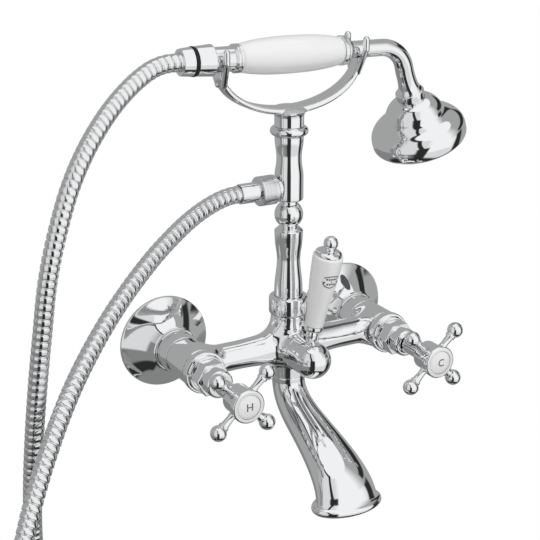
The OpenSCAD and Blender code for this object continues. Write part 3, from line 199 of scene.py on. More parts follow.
satin = grained("satin_chrome", "#F2F3F4", "#DEDFE0", 1, 0.24, 90, (12, 0.3, 0.3))
brass = grained("machined_brass", "#C9A65A", "#B8944A", 1, 0.3, 400)
rubber = grained("black_rubber", "#1B1B1B", "#141414", 0, 0.7, 700)
ceramic = grained("ground_ceramic", "#E2DFD6", "#DAD7CE", 0, 0.35, 600)
face_plastic = grained("grey_face_plastic", "#6A6B6C", "#5E5F60", 0, 0.45, 500)
steel = grained("zinc_plated_steel", "#B9BABB", "#A9AAAB", 1, 0.35, 500)
print_ink = grained("dark_grey_print", "#565657", "#4E4E4F", 0, 0.4, 900)
finishes = {"brass": brass, "rubber": rubber, "ceramic": ceramic, "face": face_plastic,
            "satin": steel, "chrome": chrome, "porcelain": porcelain, "hose": hose_chrome}
for row in frame["record"]["subparts"]:
    shown = frame["nodes"][row["node"]]
    shown.data.materials.clear()
    plated = row["node"] in ("hot_union", "cold_union")
    shown.data.materials.append(steel if plated else finishes[row["material_slot"]])
print("CAD nodes painted", len(frame["nodes"]))

# %% [markdown]
# ## Places
# The pieces are drawn around their own axis and then put in place with a matrix: out of the wall, up
# the column, along the handset, down the shower head or up the lever. Sizes are in millimetres.

# %% Places
REACH = 50.5  # from the wall to the axes of the body and the column
VALVE_X = 75
HANDSET_Z, HOSE_Z = 208.1, 116.6
REST_RISE, REST_SPAN = 2.4, 106  # the handset lies a little higher on the hose side
TILT = math.asin(REST_RISE / REST_SPAN)
ROLL = math.radians(8)
BEND_R, BEND_X, HEAD_TILT = 24, 73.6, 18
COLLAR_MID, HEAD_OUT = 21, 4  # the head leans out a little further about its collar
LEVER_OUT, LEVER_RIGHT, LEVER_FORWARD = 27, 5, 10.8


def shift(x, y, z):
    return Matrix.Translation(Vector((x, y, z)) * MM)


def turn(degrees, axis):
    return Matrix.Rotation(math.radians(degrees), 4, axis)


def from_wall(x):
    return shift(x, 0, 0) @ turn(90, "X")


column = shift(0, -REACH, 0)
handset = shift(0, -REACH, HANDSET_Z) @ Matrix.Rotation(TILT, 4, "Y") @ Matrix.Rotation(ROLL, 4, "X")
grip_axis = handset @ turn(90, "Y")
bend_end = (BEND_X + BEND_R * math.cos(math.radians(HEAD_TILT)), 0,
            BEND_R * (math.sin(math.radians(HEAD_TILT)) - 1))
cad_head = handset @ shift(*bend_end) @ turn(180 - HEAD_TILT, "Y")
head = cad_head @ shift(0, 0, COLLAR_MID) @ turn(-HEAD_OUT, "Y") @ shift(0, 0, -COLLAR_MID)
lever = shift(0, -REACH - LEVER_OUT, 0) @ turn(LEVER_RIGHT, "Y") @ turn(LEVER_FORWARD, "X")
hose_outlet = shift(0, -REACH, HOSE_Z) @ turn(90, "Y")
print("handset tilt", round(math.degrees(TILT), 2))

# %% [markdown]
# ## Shower hose
# A 1.5 m hose of interlocked chrome strip, 12 mm across. It leaves the handset, hangs in a loop and
# comes up to the column. Its centreline is one smooth curve through listed points. The strip is
# wound so that each turn is a flat rib, a slightly lower flat and a narrow groove, about 4.7 mm from rib
# to rib, so the tube is made ring by ring along the curve with the radius following the ribs.

# %% Hose route
HOSE_START, HOSE_STOP = 73.6, 28.6  # from the middle of the grip, and from the column
LEAD = 12  # the hose leaves each end straight
FINE = 24  # points between two of the route's points
hose_axis = Vector((-math.cos(TILT), 0, math.sin(TILT)))
first = Vector((0, -REACH, HANDSET_Z)) + HOSE_START * hose_axis
last = Vector((-HOSE_STOP, -REACH, HOSE_Z))
hang = [(-103, -52.4, 206.8), (-128, -62, 193.5), (-152, -76, 175), (-171, -88, 153), (-185, -97, 127),
        (-195, -102, 98), (-201, -104, 66), (-206, -104, 32), (-210, -103, -4), (-212, -99, -44),
        (-210, -90, -88), (-203, -79, -132), (-191, -66, -176), (-177, -53, -220), (-165, -43, -266),
        (-161, -41, -313), (-169, -53, -354), (-188, -81, -382), (-214, -118, -393), (-242, -156, -387),
        (-266, -190, -363), (-283, -214, -325), (-291, -227, -280), (-291, -228, -232),
        (-284, -219, -185), (-274, -204, -142), (-261, -184, -102), (-247, -164, -66), (-231, -146, -34),
        (-211, -129, -2), (-187, -111, 28), (-160, -93, 53), (-131, -77, 75), (-100, -63, 94.5),
        (-68, -53, 110)]
route = [first, first + LEAD * hose_axis] + [Vector(p) for p in hang]
route += [last - Vector((LEAD, 0, 0)), last]


def heading(i):
    if i < 2:
        return hose_axis
    if i > len(route) - 3:
        return Vector((1, 0, 0))
    return (route[i + 1] - route[i - 1]).normalized()


def along(i, t):
    a, b = route[i], route[i + 1]
    span = (b - a).length
    return (a * (1 + 2 * t) * (1 - t) ** 2 + b * t * t * (3 - 2 * t)
            + heading(i) * span * t * (1 - t) ** 2 - heading(i + 1) * span * t * t * (1 - t))


fine = np.array([along(i, k / FINE) for i in range(len(route) - 1) for k in range(FINE)] + [route[-1]])
steps = np.linalg.norm(np.diff(fine, axis=0), axis=1)
lengths = np.concatenate([[0], np.cumsum(steps)])
hose_length = lengths[-1]
print("hose length", round(hose_length, 1), "mm")


# %% Hose tube
def on_route(s):
    return np.stack([np.interp(s, lengths, fine[:, k]) for k in range(3)], axis=1)


def skin(rows, count, closed=False):
    """Faces between each ring of points and the next, for rings of count points."""
    return [(i * count + k, i * count + (k + 1) % count,
             (i + 1) % rows * count + (k + 1) % count, (i + 1) % rows * count + k)
            for i in range(rows if closed else rows - 1) for k in range(count)]


def linked(name, points, faces):
    """A new object from points in millimetres and their faces."""
    mesh = bpy.data.meshes.new(name)
    mesh.from_pydata((np.array(points) * MM).tolist(), [], faces)
    made = bpy.data.objects.new(name, mesh)
    bpy.context.collection.objects.link(made)
    return made


def tube_mesh(name, centres, radii, sides):
    """A closed tube with one ring of points around each centre, and its two ends capped."""
    ahead = np.gradient(centres, axis=0)
    ahead /= np.linalg.norm(ahead, axis=1)[:, None]
    across = np.cross(np.array([0.6, -0.8, 0]), ahead)
    across /= np.linalg.norm(across, axis=1)[:, None]
    beside = np.cross(ahead, across)
    angle = np.arange(sides) * 2 * math.pi / sides
    spokes = (np.cos(angle)[None, :, None] * across[:, None]
              + np.sin(angle)[None, :, None] * beside[:, None])
    rings = centres[:, None] + radii[:, None, None] * spokes
    rows = len(centres)
    caps = [tuple(reversed(range(sides))), tuple(range((rows - 1) * sides, rows * sides))]
    made = linked(name, rings.reshape(-1, 3), skin(rows, sides) + caps)
    made.data.shade_smooth()
    return made


RIB = 4.65
GROOVE_R = 5.0
ribs = int(hose_length / RIB)
# Share of the rib's length, and the radius there.
profile = [(0.0, GROOVE_R), (0.07, GROOVE_R), (0.09, 5.5), (0.13, 5.86), (0.18, 5.98), (0.24, 6.0),
           (0.62, 6.0), (0.66, 5.9), (0.7, 5.84), (0.91, 5.82), (0.96, 5.5)]
stations = np.array([(k + f) * hose_length / ribs for k in range(ribs) for f, _ in profile] + [hose_length])
radii = np.array([r for _ in range(ribs) for _, r in profile] + [GROOVE_R])
hose = tube_mesh("hose_strip", on_route(stations), radii, 20)
hose.data.materials.append(hose_chrome)
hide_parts("shower_hose")
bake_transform(hose)
print("hose ribs", ribs, "faces", len(hose.data.polygons))

# %% [markdown]
# ## The lathe
# A turned piece is an outline of radius and height. One vertex is extruded along that outline, and
# the spin tool sweeps it round the axis. Real turned edges are never knife sharp, so an outline point
# may carry a third number: the radius that its corner is eased to.


# %% Outline helpers
def curve(p, q, r, s, n=14):
    """Points of a smooth line from p to s that leaves toward q and arrives from r."""
    p, q, r, s = (np.array(v, float) for v in (p, q, r, s))
    return [tuple(p * (1 - t) ** 3 + 3 * q * t * (1 - t) ** 2 + 3 * r * t * t * (1 - t) + s * t**3)
            for t in (k / n for k in range(n + 1))]


def arc(centre, radius, start, end, n=14):
    return [(centre[0] + radius * math.cos(math.radians(a)), centre[1] + radius * math.sin(math.radians(a)))
            for a in (start + (end - start) * k / n for k in range(n + 1))]


def eased(outline):
    """Replaces every corner that carries a radius by a short arc."""
    done = []
    for i, point in enumerate(outline):
        if len(point) < 3 or i in (0, len(outline) - 1):
            done.append(tuple(point[:2]))
            continue
        here = Vector(point[:2])
        back = Vector(outline[i - 1][:2]) - here
        on = Vector(outline[i + 1][:2]) - here
        size = min(point[2], back.length * 0.45, on.length * 0.45)
        a, b = here + back.normalized() * size, here + on.normalized() * size
        for k in range(6):
            t = k / 5
            done.append(tuple(a * (1 - t) ** 2 + here * 2 * t * (1 - t) + b * t * t))
    return done


print("outline helpers ready")


# %% Lathe
def spun(name, outline, steps=96, sharp=40):
    """Spins an outline of (radius, height) in millimetres about the Z axis."""
    points = eased(outline)
    bpy.ops.object.select_all(action="DESELECT")
    bpy.ops.mesh.primitive_plane_add(size=MM)
    made = bpy.context.object
    made.name = made.data.name = name
    bpy.ops.object.mode_set(mode="EDIT")
    bpy.ops.mesh.select_all(action="SELECT")
    bpy.ops.mesh.merge(type="CENTER")
    at = (0, 0)
    for i, (r, h) in enumerate(points):
        move = ((r - at[0]) * MM, 0, (h - at[1]) * MM)
        if i == 0:
            bpy.ops.transform.translate(value=move)
        else:
            bpy.ops.mesh.extrude_vertices_move(TRANSFORM_OT_translate={"value": move})
        at = (r, h)
    bpy.ops.mesh.select_all(action="SELECT")
    bpy.ops.mesh.spin(steps=steps, angle=2 * math.pi, center=(0, 0, 0), axis=(0, 0, 1))
    bpy.ops.mesh.select_all(action="SELECT")
    bpy.ops.mesh.remove_doubles(threshold=1e-6)
    bpy.ops.mesh.normals_make_consistent(inside=False)
    bpy.ops.object.mode_set(mode="OBJECT")
    bpy.ops.object.shade_smooth_by_angle(angle=math.radians(sharp))
    return made


def selected(made):
    bpy.ops.object.select_all(action="DESELECT")
    made.select_set(True)
    bpy.context.view_layer.objects.active = made


def placed(made, place):
    made.matrix_world = place
    selected(made)
    bpy.ops.object.transform_apply(location=True, rotation=True, scale=True)
    return made


def joined(name, pieces):
    bpy.ops.object.select_all(action="DESELECT")
    for piece in pieces:
        piece.select_set(True)
    bpy.context.view_layer.objects.active = pieces[0]
    bpy.ops.object.join()
    pieces[0].name = pieces[0].data.name = name
    return pieces[0]


def finished(made, material, body, *nodes, slot=None):
    made.data.materials.clear()
    made.data.materials.append(material)
    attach(made, body)
    if nodes:
        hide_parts(*nodes)
    return made


def turned(name, outline, place, material, body, *nodes, slot="chrome"):
    return finished(placed(spun(name, outline), place), material, body, *nodes, slot=slot)


sides = [("hot", -VALVE_X), ("cold", VALVE_X)]
print("lathe ready")

# %% [markdown]
# Beside the lathe are three bench tools: one turns faces outwards, one makes a plain cylinder and one cuts
# a shape away.


# %% Bench tools
def outward(made):
    """Turns every face of an object outwards."""
    selected(made)
    bpy.ops.object.mode_set(mode="EDIT")
    bpy.ops.mesh.select_all(action="SELECT")
    bpy.ops.mesh.normals_make_consistent(inside=False)
    bpy.ops.object.mode_set(mode="OBJECT")


def cylinder(start, length, radius, place, vertices=48):
    bpy.ops.object.select_all(action="DESELECT")
    bpy.ops.mesh.primitive_cylinder_add(vertices=vertices, radius=radius * MM, depth=length * MM,
                                        location=(0, 0, (start + length / 2) * MM))
    bpy.ops.object.transform_apply(location=True)
    return placed(bpy.context.object, place)


def cut_away(made, cutter):
    """Takes the shape of the cutter out of an object."""
    cut = made.modifiers.new("cut", "BOOLEAN")
    cut.object = cutter
    cut.operation = "DIFFERENCE"
    selected(made)
    bpy.ops.object.modifier_apply(modifier="cut")
    bpy.data.objects.remove(cutter)


print("bench tools ready")

# %% [markdown]
# ## Wall flanges and union nuts
# The flange is a spun sheet bell that hides the hole in the wall: a rolled rim, a hollow cone and a
# neck that slides over the nut. The nut is a plain round one with a long bevel toward the valve.

# %% Flanges and nuts
for name, x in sides:
    bell = curve((33.1, 2.6), (28.8, 5.8), (20.3, 12), (16.7, 21.6), 24)
    inside = [(r - 1.1, h) for r, h in reversed(bell)]
    outline = [(32.0, 0), (33.6, 0, 0.5), (33.6, 2.2, 0.6)] + bell + [(16.2, 22.0)] + inside + [(32.0, 0)]
    turned(name + "_bell", outline, from_wall(x), chrome, "mixer", name + "_flange")
    outline = [(13.1, 11), (15.2, 11, 0.6), (15.2, 28, 1.2), (13.9, 34.5, 0.5), (11.0, 34.5, 0.3),
               (11.0, 26.4), (13.1, 26.4), (13.1, 11)]
    turned(name + "_nut", outline, from_wall(x), chrome, "mixer", name + "_union_nut")
print("flanges and nuts done")

# %% [markdown]
# ## Mixer body
# One brass casting: two valve barrels, a round bar between them, a core that carries the column and
# the spout, and a boss for the diverter. A casting has wide fillets where its shapes meet. The rough
# solids are merged with a voxel remesh, and then every point slides onto a smooth surface given by a
# distance formula, in which the joins are rounded like the fillets of the casting.


# %% Body surface
BARREL_R, BARREL_FACE, TAIL_R = 14, 61.1, 10.8
CORE_R, BOSS_R, BALL_R = 12.4, 13, 15.3
SPOUT_TOP = -21.8


def capped(p, start, end, radius, edge):
    """Distance of points from a cylinder with eased ends."""
    start, end = np.array(start, float), np.array(end, float)
    length = np.linalg.norm(end - start)
    axis = (end - start) / length
    h = (p - start) @ axis
    r = np.linalg.norm(p - start - h[:, None] * axis, axis=1)
    dr, dh = r - radius + edge, np.abs(h - length / 2) - length / 2 + edge
    return np.minimum(np.maximum(dr, dh), 0) + np.hypot(np.maximum(dr, 0), np.maximum(dh, 0)) - edge


def merged(a, b, fillet):
    h = np.maximum(fillet - np.abs(a - b), 0)
    return np.minimum(a, b) - h * h / (4 * fillet)


def body_distance(p):
    side = np.column_stack([np.abs(p[:, 0]), p[:, 1], p[:, 2]])
    barrel = capped(side, (VALVE_X, -35, 0), (VALVE_X, -BARREL_FACE, 0), BARREL_R, 0.7)
    ease = np.clip((side[:, 0] - 10) / 32, 0, 1)
    bar_r = 11.5 - 1.5 * ease * ease * (3 - 2 * ease)
    bar = np.maximum(np.hypot(p[:, 1] + REACH, p[:, 2]) - bar_r, side[:, 0] - VALVE_X)
    bar = merged(barrel, bar, 9)
    bar = -merged(-bar, BARREL_FACE + p[:, 1], 0.8)
    bar = merged(bar, capped(side, (VALVE_X, -24.2, 0), (VALVE_X, -40, 0), TAIL_R, 0.4), 0.3)
    bar = merged(bar, capped(p, (0, -REACH, 0), (0, -REACH, 24.6), CORE_R, 0.5), 13)
    core = capped(p, (0, -REACH, SPOUT_TOP), (0, -REACH, 0), CORE_R, 0.5)
    ball = np.linalg.norm(p - np.array([0, -REACH, 0]), axis=1) - BALL_R
    core = merged(core, ball, 4)
    core = merged(core, capped(p, (0, -REACH, 0), (0, -69.6, 0), BOSS_R, 0.5), 2.5)
    return merged(bar, core, 5)


print("body surface ready")

# %% Body casting
VOXEL, PROBE, SLIDE = 0.75, 0.01, 1.5
rough = [cylinder(*solid) for solid in [
    (35, 26, BARREL_R, from_wall(-VALVE_X)), (35, 26, BARREL_R, from_wall(VALVE_X)),
    (24.3, 12, 10.7, from_wall(-VALVE_X)), (24.3, 12, 10.7, from_wall(VALVE_X)),
    (-70, 140, 11, column @ turn(90, "Y")), (-21.7, 46.2, CORE_R, column),
    (50, 19.5, BOSS_R, from_wall(0)),
]]
bpy.ops.object.select_all(action="DESELECT")
bpy.ops.mesh.primitive_uv_sphere_add(radius=BALL_R * MM, location=(0, -REACH * MM, 0))
bpy.ops.object.transform_apply(location=True)
body = joined("body_casting", rough + [bpy.context.object])
remesh = body.modifiers.new("merge", "REMESH")
remesh.mode = "VOXEL"
remesh.voxel_size = VOXEL * MM
bpy.ops.object.modifier_apply(modifier="merge")

points = np.empty(len(body.data.vertices) * 3)
body.data.vertices.foreach_get("co", points)
points = points.reshape(-1, 3) / MM
for _ in range(8):
    here = body_distance(points)
    slope = np.stack([(body_distance(points + d) - here) / PROBE for d in np.eye(3) * PROBE], axis=1)
    slope /= np.maximum(np.linalg.norm(slope, axis=1), 0.3)[:, None]
    points -= np.clip(here, -SLIDE, SLIDE)[:, None] * slope
body.data.vertices.foreach_set("co", (points * MM).ravel())
body.data.update()
print("body points", len(points))

# %% Bores of the body
VALVE_BORE, SPOOL_BORE = 10.6, 10.2
bores = [cylinder(*solid, vertices=64) for solid in [
    (38, 30, VALVE_BORE, from_wall(-VALVE_X)), (38, 30, VALVE_BORE, from_wall(VALVE_X)),
    (40, 40, SPOOL_BORE, from_wall(0)),
]]
cut_away(body, joined("bores", bores))
bpy.ops.object.shade_smooth_by_angle(angle=math.radians(38))
finished(body, chrome, "mixer", "mixer_body", slot="chrome")
print("body faces", len(body.data.polygons))

# %% [markdown]
# ## Valve tops
# A beaded collar, a hexagon for the spanner and a slim gland stand on each barrel. All are turned but
# the hexagon, which is a lathe outline spun in six steps and then bevelled.

# %% Valve tops
for name, x in sides:
    at = from_wall(x)
    shoulder = spun("shoulder", [(9.6, 61.2), (12.6, 61.2, 0.3), (12.6, 62.6, 0.3), (11, 62.6), (11, 72),
                                 (9.6, 72), (9.6, 61.2)])
    hexagon = spun("hexagon", [(7, 71.6), (12.7, 71.6), (12.7, 81.6), (7, 81.6), (7, 71.6)], steps=6)
    soften = hexagon.modifiers.new("soften", "BEVEL")
    soften.width = 0.6 * MM
    soften.segments = 3
    soften.limit_method = "ANGLE"
    bpy.ops.object.modifier_apply(modifier="soften")
    bpy.ops.object.shade_smooth_by_angle(angle=math.radians(25))
    finished(placed(joined(name + "_valve_top", [shoulder, hexagon]), at), chrome, "mixer",
             name + "_bonnet", slot="chrome")
    outline = ([(11.1, 62.7), (13, 62.7)] + arc((13.4, 64.3), 1.6, -80, 0) + arc((14, 67.8), 1, 0, 80)
               + [(13.4, 68.8), (12.8, 69.4), (12.8, 71.2, 0.5), (11.1, 71.2), (11.1, 62.7)])
    turned(name + "_bead_collar", outline, at, chrome, "mixer", name + "_collar")
    outline = [(6, 81.6), (10, 81.6, 0.5), (9.8, 90.2, 0.5), (8.5, 91.4, 0.6), (6, 91.4), (6, 81.6)]
    turned(name + "_packing_nut", outline, at, chrome, "mixer", name + "_gland")
print("valve tops done")

# %% [markdown]
# ## Cross handles
# Each handle is a hub with four turned arms that end in balls. The arms swell toward the ball and
# carry a small collar there. A bezel with a domed porcelain disc closes the hub.

# %% Cross handles
HUB = 112  # from the wall to the hub
CROWN_R = 24.7  # of the domed disc
for name, x in sides:
    at = from_wall(x)
    outline = ([(4.6, 92.4), (5.5, 92.4), (6, 92.9)]
               + curve((6, HUB - 5), (6, HUB - 2), (8.4, HUB - 1), (10, HUB + 1.6))
               + [(10, HUB + 14, 0.5), (0, HUB + 14), (0, HUB + 4), (4.6, HUB + 4), (4.6, 92.4)])
    pieces = [spun("hub", outline)]
    arm = ([(0, 8.4), (3.4, 8.8)] + curve((3.4, 9.2), (2.3, 10.4), (2.3, 14.3), (3.0, 19.3))
           + [(3.6, 19.3, 0.3), (3.6, 20.7, 0.3)] + arc((0, 25.4), 5.5, -52, 90, 24))
    for quarter in range(4):
        spoke = spun("spoke", arm, steps=48)
        pieces.append(placed(spoke, shift(0, 0, HUB + 10.6) @ turn(45 + 90 * quarter, "Z") @ turn(90, "Y")))
    handle = joined(name + "_cross", pieces)
    finished(placed(handle, at), chrome, name + "_tap", name + "_handle", slot="chrome")
    front = HUB + 19.5
    outline = ([(0, front - 6.5), (9, front - 6.5), (9, front - 5.5), (10.4, front - 5.5)]
               + arc((10.4, front - 4.3), 1.2, -90, 0) + arc((10.2, front - 1.4), 1.4, 0, 90)
               + [(8.5, front), (8.5, front - 1.9), (0, front - 1.9)])
    turned(name + "_cap_ring", outline, at, chrome, name + "_tap", name + "_bezel")
    crown = [(r, front + 1 - CROWN_R + math.sqrt(CROWN_R**2 - r * r)) for r in np.linspace(8.1, 0, 16)]
    outline = [(0, front - 1.8), (8.4, front - 1.8), (8.4, front - 0.6)] + crown
    turned(name + "_disc", outline, at, porcelain, name + "_tap", name + "_index", slot="porcelain")

    bpy.ops.object.select_all(action="DESELECT")
    bpy.ops.object.text_add()
    letter = bpy.context.object
    letter.name = name + "_letter"
    letter.data.body = "H" if name == "hot" else "C"
    letter.data.size = 7.4 * MM
    letter.data.extrude = 0.2 * MM
    letter.data.align_x = "CENTER"
    letter.data.align_y = "CENTER"
    bpy.ops.object.convert(target="MESH")
    letter = bpy.context.object
    finished(placed(letter, at @ shift(0, 0, front + 0.88)), print_ink, name + "_tap")
print("handles done")

# %% [markdown]
# ## Diverter lever
# A round chrome cap with a short neck, a porcelain lever that widens toward the top and a ball finial.
# The mark on its front is a plain one: two thin arcs, two pointers and rows of lozenges. It is drawn
# flat, wrapped round the lever and given a hair of thickness.

# %% Diverter lever
cap = placed(spun("cap", [(0, 70), (13, 70, 0.5), (13, 84)] + arc((0, 84.5), 13, 0, 90, 28)), from_wall(0))
outline = ([(0, 8)] + curve((8.2, 8), (5.8, 11.4), (3.6, 11.8), (3.4, 14))
           + curve((3.4, 14), (3.4, 15), (4.2, 15.6), (4.2, 17.6))
           + curve((4.2, 17.6), (4.2, 19.6), (3.5, 20.4), (3.4, 22))[1:] + [(0, 22)])
neck = placed(spun("neck", outline), lever)
finished(joined("diverter_knob", [cap, neck]), chrome, "diverter", "diverter_cap", slot="chrome")
outline = ([(0, 22), (4.5, 22)] + curve((4.5, 22), (6.3, 22), (6.7, 23), (6.7, 24.4))
           + [(6.3, 26.2), (0, 26.2)])
turned("lever_ferrule", outline, lever, chrome, "diverter", "lever_rod")
flank = curve((6.5, 27), (7.3, 45.3), (10.2, 58.9), (10.4, 78.2), 24)
outline = [(0, 26.2), (5.9, 26.2), (6.5, 26.8)] + flank + arc((8.6, 78.9), 1.8, 0, 90) + [(0, 80.7)]
turned("lever_porcelain", outline, lever, porcelain, "diverter", "lever_grip", slot="porcelain")
outline = ([(0, 80.7), (9.3, 80.7, 0.3)] + curve((9.3, 81.6), (8.7, 83.5), (5.8, 83.6), (4.1, 84.1))
           + [(4.1, 85.2, 0.4), (3.3, 85.3)] + arc((0, 89), 5, -48, 90, 24))
turned("lever_ball", outline, lever, chrome, "diverter", "lever_finial")
print("lever done")

# %% Lever mark
flat, shapes = [], []


def strip(inner, outer):
    base = len(flat)
    flat.extend(inner + outer)
    n = len(inner)
    shapes.extend((base + k, base + k + 1, base + n + k + 1, base + n + k) for k in range(n - 1))


strip(arc((0, -9.5), 13.2, 65, 115, 24), arc((0, -9.5), 13.8, 65, 115, 24))
strip(arc((0, 2.2), 6.7, 212, 328, 24), arc((0, 2.2), 7.3, 212, 328, 24))
for row, places in [(1.7, (-3.6, -1.8, 0, 1.8, 3.6)), (-2.1, (-2.7, -0.9, 0.9, 2.7)), (-0.2, (0,))]:
    size = 0.85 if len(places) > 1 else 0.55
    for x in places:
        base = len(flat)
        flat.extend([(x - size, row), (x, row - size), (x + size, row), (x, row + size)])
        shapes.append((base, base + 1, base + 2, base + 3))
for side in (-1, 1):
    base = len(flat)
    flat.extend([(side * 5.4, -1.9), (side * 6.6, -0.2), (side * 4.2, -0.4)])
    shapes.append((base, base + 1, base + 2))
MARK_AT = 64.7
wrapped = []
for across, up in flat:
    r = float(np.interp(MARK_AT + up, [h for _, h in flank], [r for r, _ in flank])) + 0.06
    wrapped.append((r * math.sin(across / r), -r * math.cos(across / r), MARK_AT + up))
mark = placed(linked("lever_mark", wrapped, shapes), lever)
outward(mark)
thicken = mark.modifiers.new("thicken", "SOLIDIFY")
thicken.thickness = 0.15 * MM
thicken.offset = 0
bpy.ops.object.modifier_apply(modifier="thicken")
finished(mark, print_ink, "diverter")
print("mark faces", len(mark.data.polygons))

# %% [markdown]
# ## Spout
# A cast swan-neck spout: round where it leaves the body, and widening to a broad oval mouth with a
# rolled lip. It is drawn as ovals along a curved centreline, outside first and then back up inside.

# %% Spout
ROUND = 72  # points in each oval
NECK_R, PASSAGE_R, WIDEN, DEEPEN, LIP_R = 11.6, 9.4, 11.9, 1.9, 3
MOUTH = (81.5, 66.5)  # out from the column and down from the body
line = np.array(curve((0, 0), (0, 14), (8.0, 21.6), (25.5, 28.6), 20)
                + curve((25.5, 28.6), (47.5, 37.4), (81.5, 48.5), MOUTH, 30)[1:])
run = np.concatenate([[0], np.cumsum(np.linalg.norm(np.diff(line, axis=0), axis=1))])
ease = (run / run[-1]) ** 1.5
course = np.gradient(line, axis=0)
course /= np.linalg.norm(course, axis=1)[:, None]
course[0], course[-1] = (0, 1), (0, 1)


def oval(p, d, a, b):
    w = np.arange(ROUND) * 2 * math.pi / ROUND
    return np.stack([a * np.cos(w), -REACH - p[0] - b * np.sin(w) * d[1],
                     SPOUT_TOP - p[1] + b * np.sin(w) * d[0]], axis=1)


def wall_at(i, radius):
    return oval(line[i], course[i], radius + WIDEN * ease[i], radius + DEEPEN * ease[i])


outer = [wall_at(i, NECK_R) for i in range(len(line) - 2)]
lip = []
for w in range(75, -106, -15):
    grow = LIP_R * math.cos(math.radians(w))
    rise = LIP_R * math.sin(math.radians(w))
    lip.append(oval((MOUTH[0], MOUTH[1] - rise), (0, 1), NECK_R + WIDEN + grow, NECK_R + DEEPEN + grow))
inner = [wall_at(i, PASSAGE_R) for i in range(len(line) - 1, -1, -1)]
rings = np.concatenate(outer + lip + inner)
rows = len(rings) // ROUND
swan = linked("spout_casting", rings, skin(rows, ROUND, closed=True))
outward(swan)
bpy.ops.object.shade_smooth_by_angle(angle=math.radians(50))
low, high = SPOUT_TOP - 5, SPOUT_TOP - 0.2
collar = placed(spun("collar", [(9, low), (12, low, 0.5), (12, high, 0.6), (9, high), (9, low)]), column)
finished(joined("swan_neck", [swan, collar]), chrome, "mixer", "spout", slot="chrome")
print("spout rings", rows)

# %% [markdown]
# ## Column
# A union nut, a waisted lower column with a ball, an upper column with the hose outlet and a beaded
# ring. Waists and beads like these are turned with form tools, and their soft curves give the long
# reflections of polished chrome.

# %% Column
outline = ([(10.3, 24.8)] + arc((12.4, 26.2), 1.4, -90, 0) + arc((11.8, 36), 2, 0, 80)
           + [(10.3, 38), (10.3, 24.8)])
turned("riser_nut", outline, column, chrome, "mixer", "column_nut")
seat = math.degrees(math.asin(6.5 / 10))
outline = ([(0, 35), (10, 35)] + curve((10, 43), (10, 51), (8.2, 56.5), (8.2, 64.5))
           + curve((8.2, 64.5), (8.2, 71.5), (9.7, 72.5), (10, 85.2))[1:]
           + [(10, 85.9, 0.4), (8.2, 87.0, 0.3), (8.2, 87.5, 0.2), (6.5, 88.4)]
           + arc((0, 97.3), 10, -90 + seat, 90 - seat, 24) + [(6.5, 107.6), (0, 107.6)])
turned("riser_lower", outline, column, chrome, "mixer", "lower_column")
outline = ([(0, 107.6)] + arc((8.4, 109.2), 1.6, -85, 0, 8)
           + curve((10, 123.6), (10, 129.6), (8.7, 131.3), (8.7, 137.3))
           + curve((8.7, 137.3), (8.7, 143.3), (10, 145.3), (10, 152.7))[1:] + [(9.4, 153.3), (0, 153.3)])
upper = placed(spun("upper", outline), column)
outline = [(0, 0), (6.2, 0), (6.2, -10), (7.2, -10.6), (7.2, -13), (0, -13)]
neck = placed(spun("outlet", outline), hose_outlet)
finished(joined("riser_upper", [upper, neck]), chrome, "mixer", "hose_tee", slot="chrome")
turned("riser_bead", arc((10.1, 156.4), 3.1, -180, 180, 32), column, chrome, "mixer", "cradle_ring")
outline = [(6, -24.6), (10.2, -24.6, 1.0), (10.2, -11.8, 0.7), (7.6, -11.8), (7.6, -20), (6, -20),
           (6, -24.6)]
turned("hose_nut", outline, hose_outlet, satin, "mixer", "column_hose_nut", slot="satin")
outline = [(6.1, -38.6), (6.9, -38.6, 0.3), (6.9, -20), (6.1, -20), (6.1, -38.6)]
turned("hose_sleeve", outline, hose_outlet, chrome, "mixer", "column_hose_ferrule")
print("column done")

# %% [markdown]
# ## Cradle
# A cast strip bent to half an oval stands on a short neck. It is broad at the neck and narrow at its
# ends, where two prongs lean out on each side of the handset and carry small upright tabs. The strip is
# a rounded section carried along the oval; a round cutter makes the saddles that the handset lies in.

# %% Cradle band
BAND_Z, BAND_A, BAND_B = 201.9, 53.15, 30.85  # centre and half axes of the oval
rings = []
for w in np.radians(np.linspace(178, 362, 97)):
    broad = 5.1 + 2.9 * max(0, -math.sin(w))
    thick = 1.65 + 0.6 * max(0, -math.sin(w))
    on = Vector((BAND_A * math.cos(w), BAND_B * math.sin(w)))
    out = Vector((math.cos(w) / BAND_A, math.sin(w) / BAND_B)).normalized()
    section = []
    for side, start in [(1, 0), (-1, 180)]:
        section += arc((0, side * (broad - thick)), thick, start, start + 180, 14)
    rings.append([(on.x + out.x * t, -REACH + across, BAND_Z + on.y + out.y * t) for t, across in section])
count = len(section)
caps = [tuple(range(count)), tuple(range((len(rings) - 1) * count, len(rings) * count))]
band = linked("band", np.array(rings).reshape(-1, 3), skin(len(rings), count) + caps)
outward(band)
print("band faces", len(band.data.polygons))

# %% [markdown]
# Each prong is a thin rod with round ends and each tab a thicker one. Both are spun upright on the
# origin and then carried to their place, so one small function makes all eight.


# %% Prongs, tabs and neck
def rod(start, end, radius):
    """A round-ended rod between two points in millimetres."""
    start, end = Vector(start), Vector(end)
    length = (end - start).length
    outline = arc((0, 0), radius, -90, 0, 8) + arc((0, length), radius, 0, 90, 8)
    turned_up = (end - start).to_track_quat("Z", "Y").to_matrix().to_4x4()
    return placed(spun("rod", outline, 32, 80), Matrix.Translation(start * MM) @ turned_up)


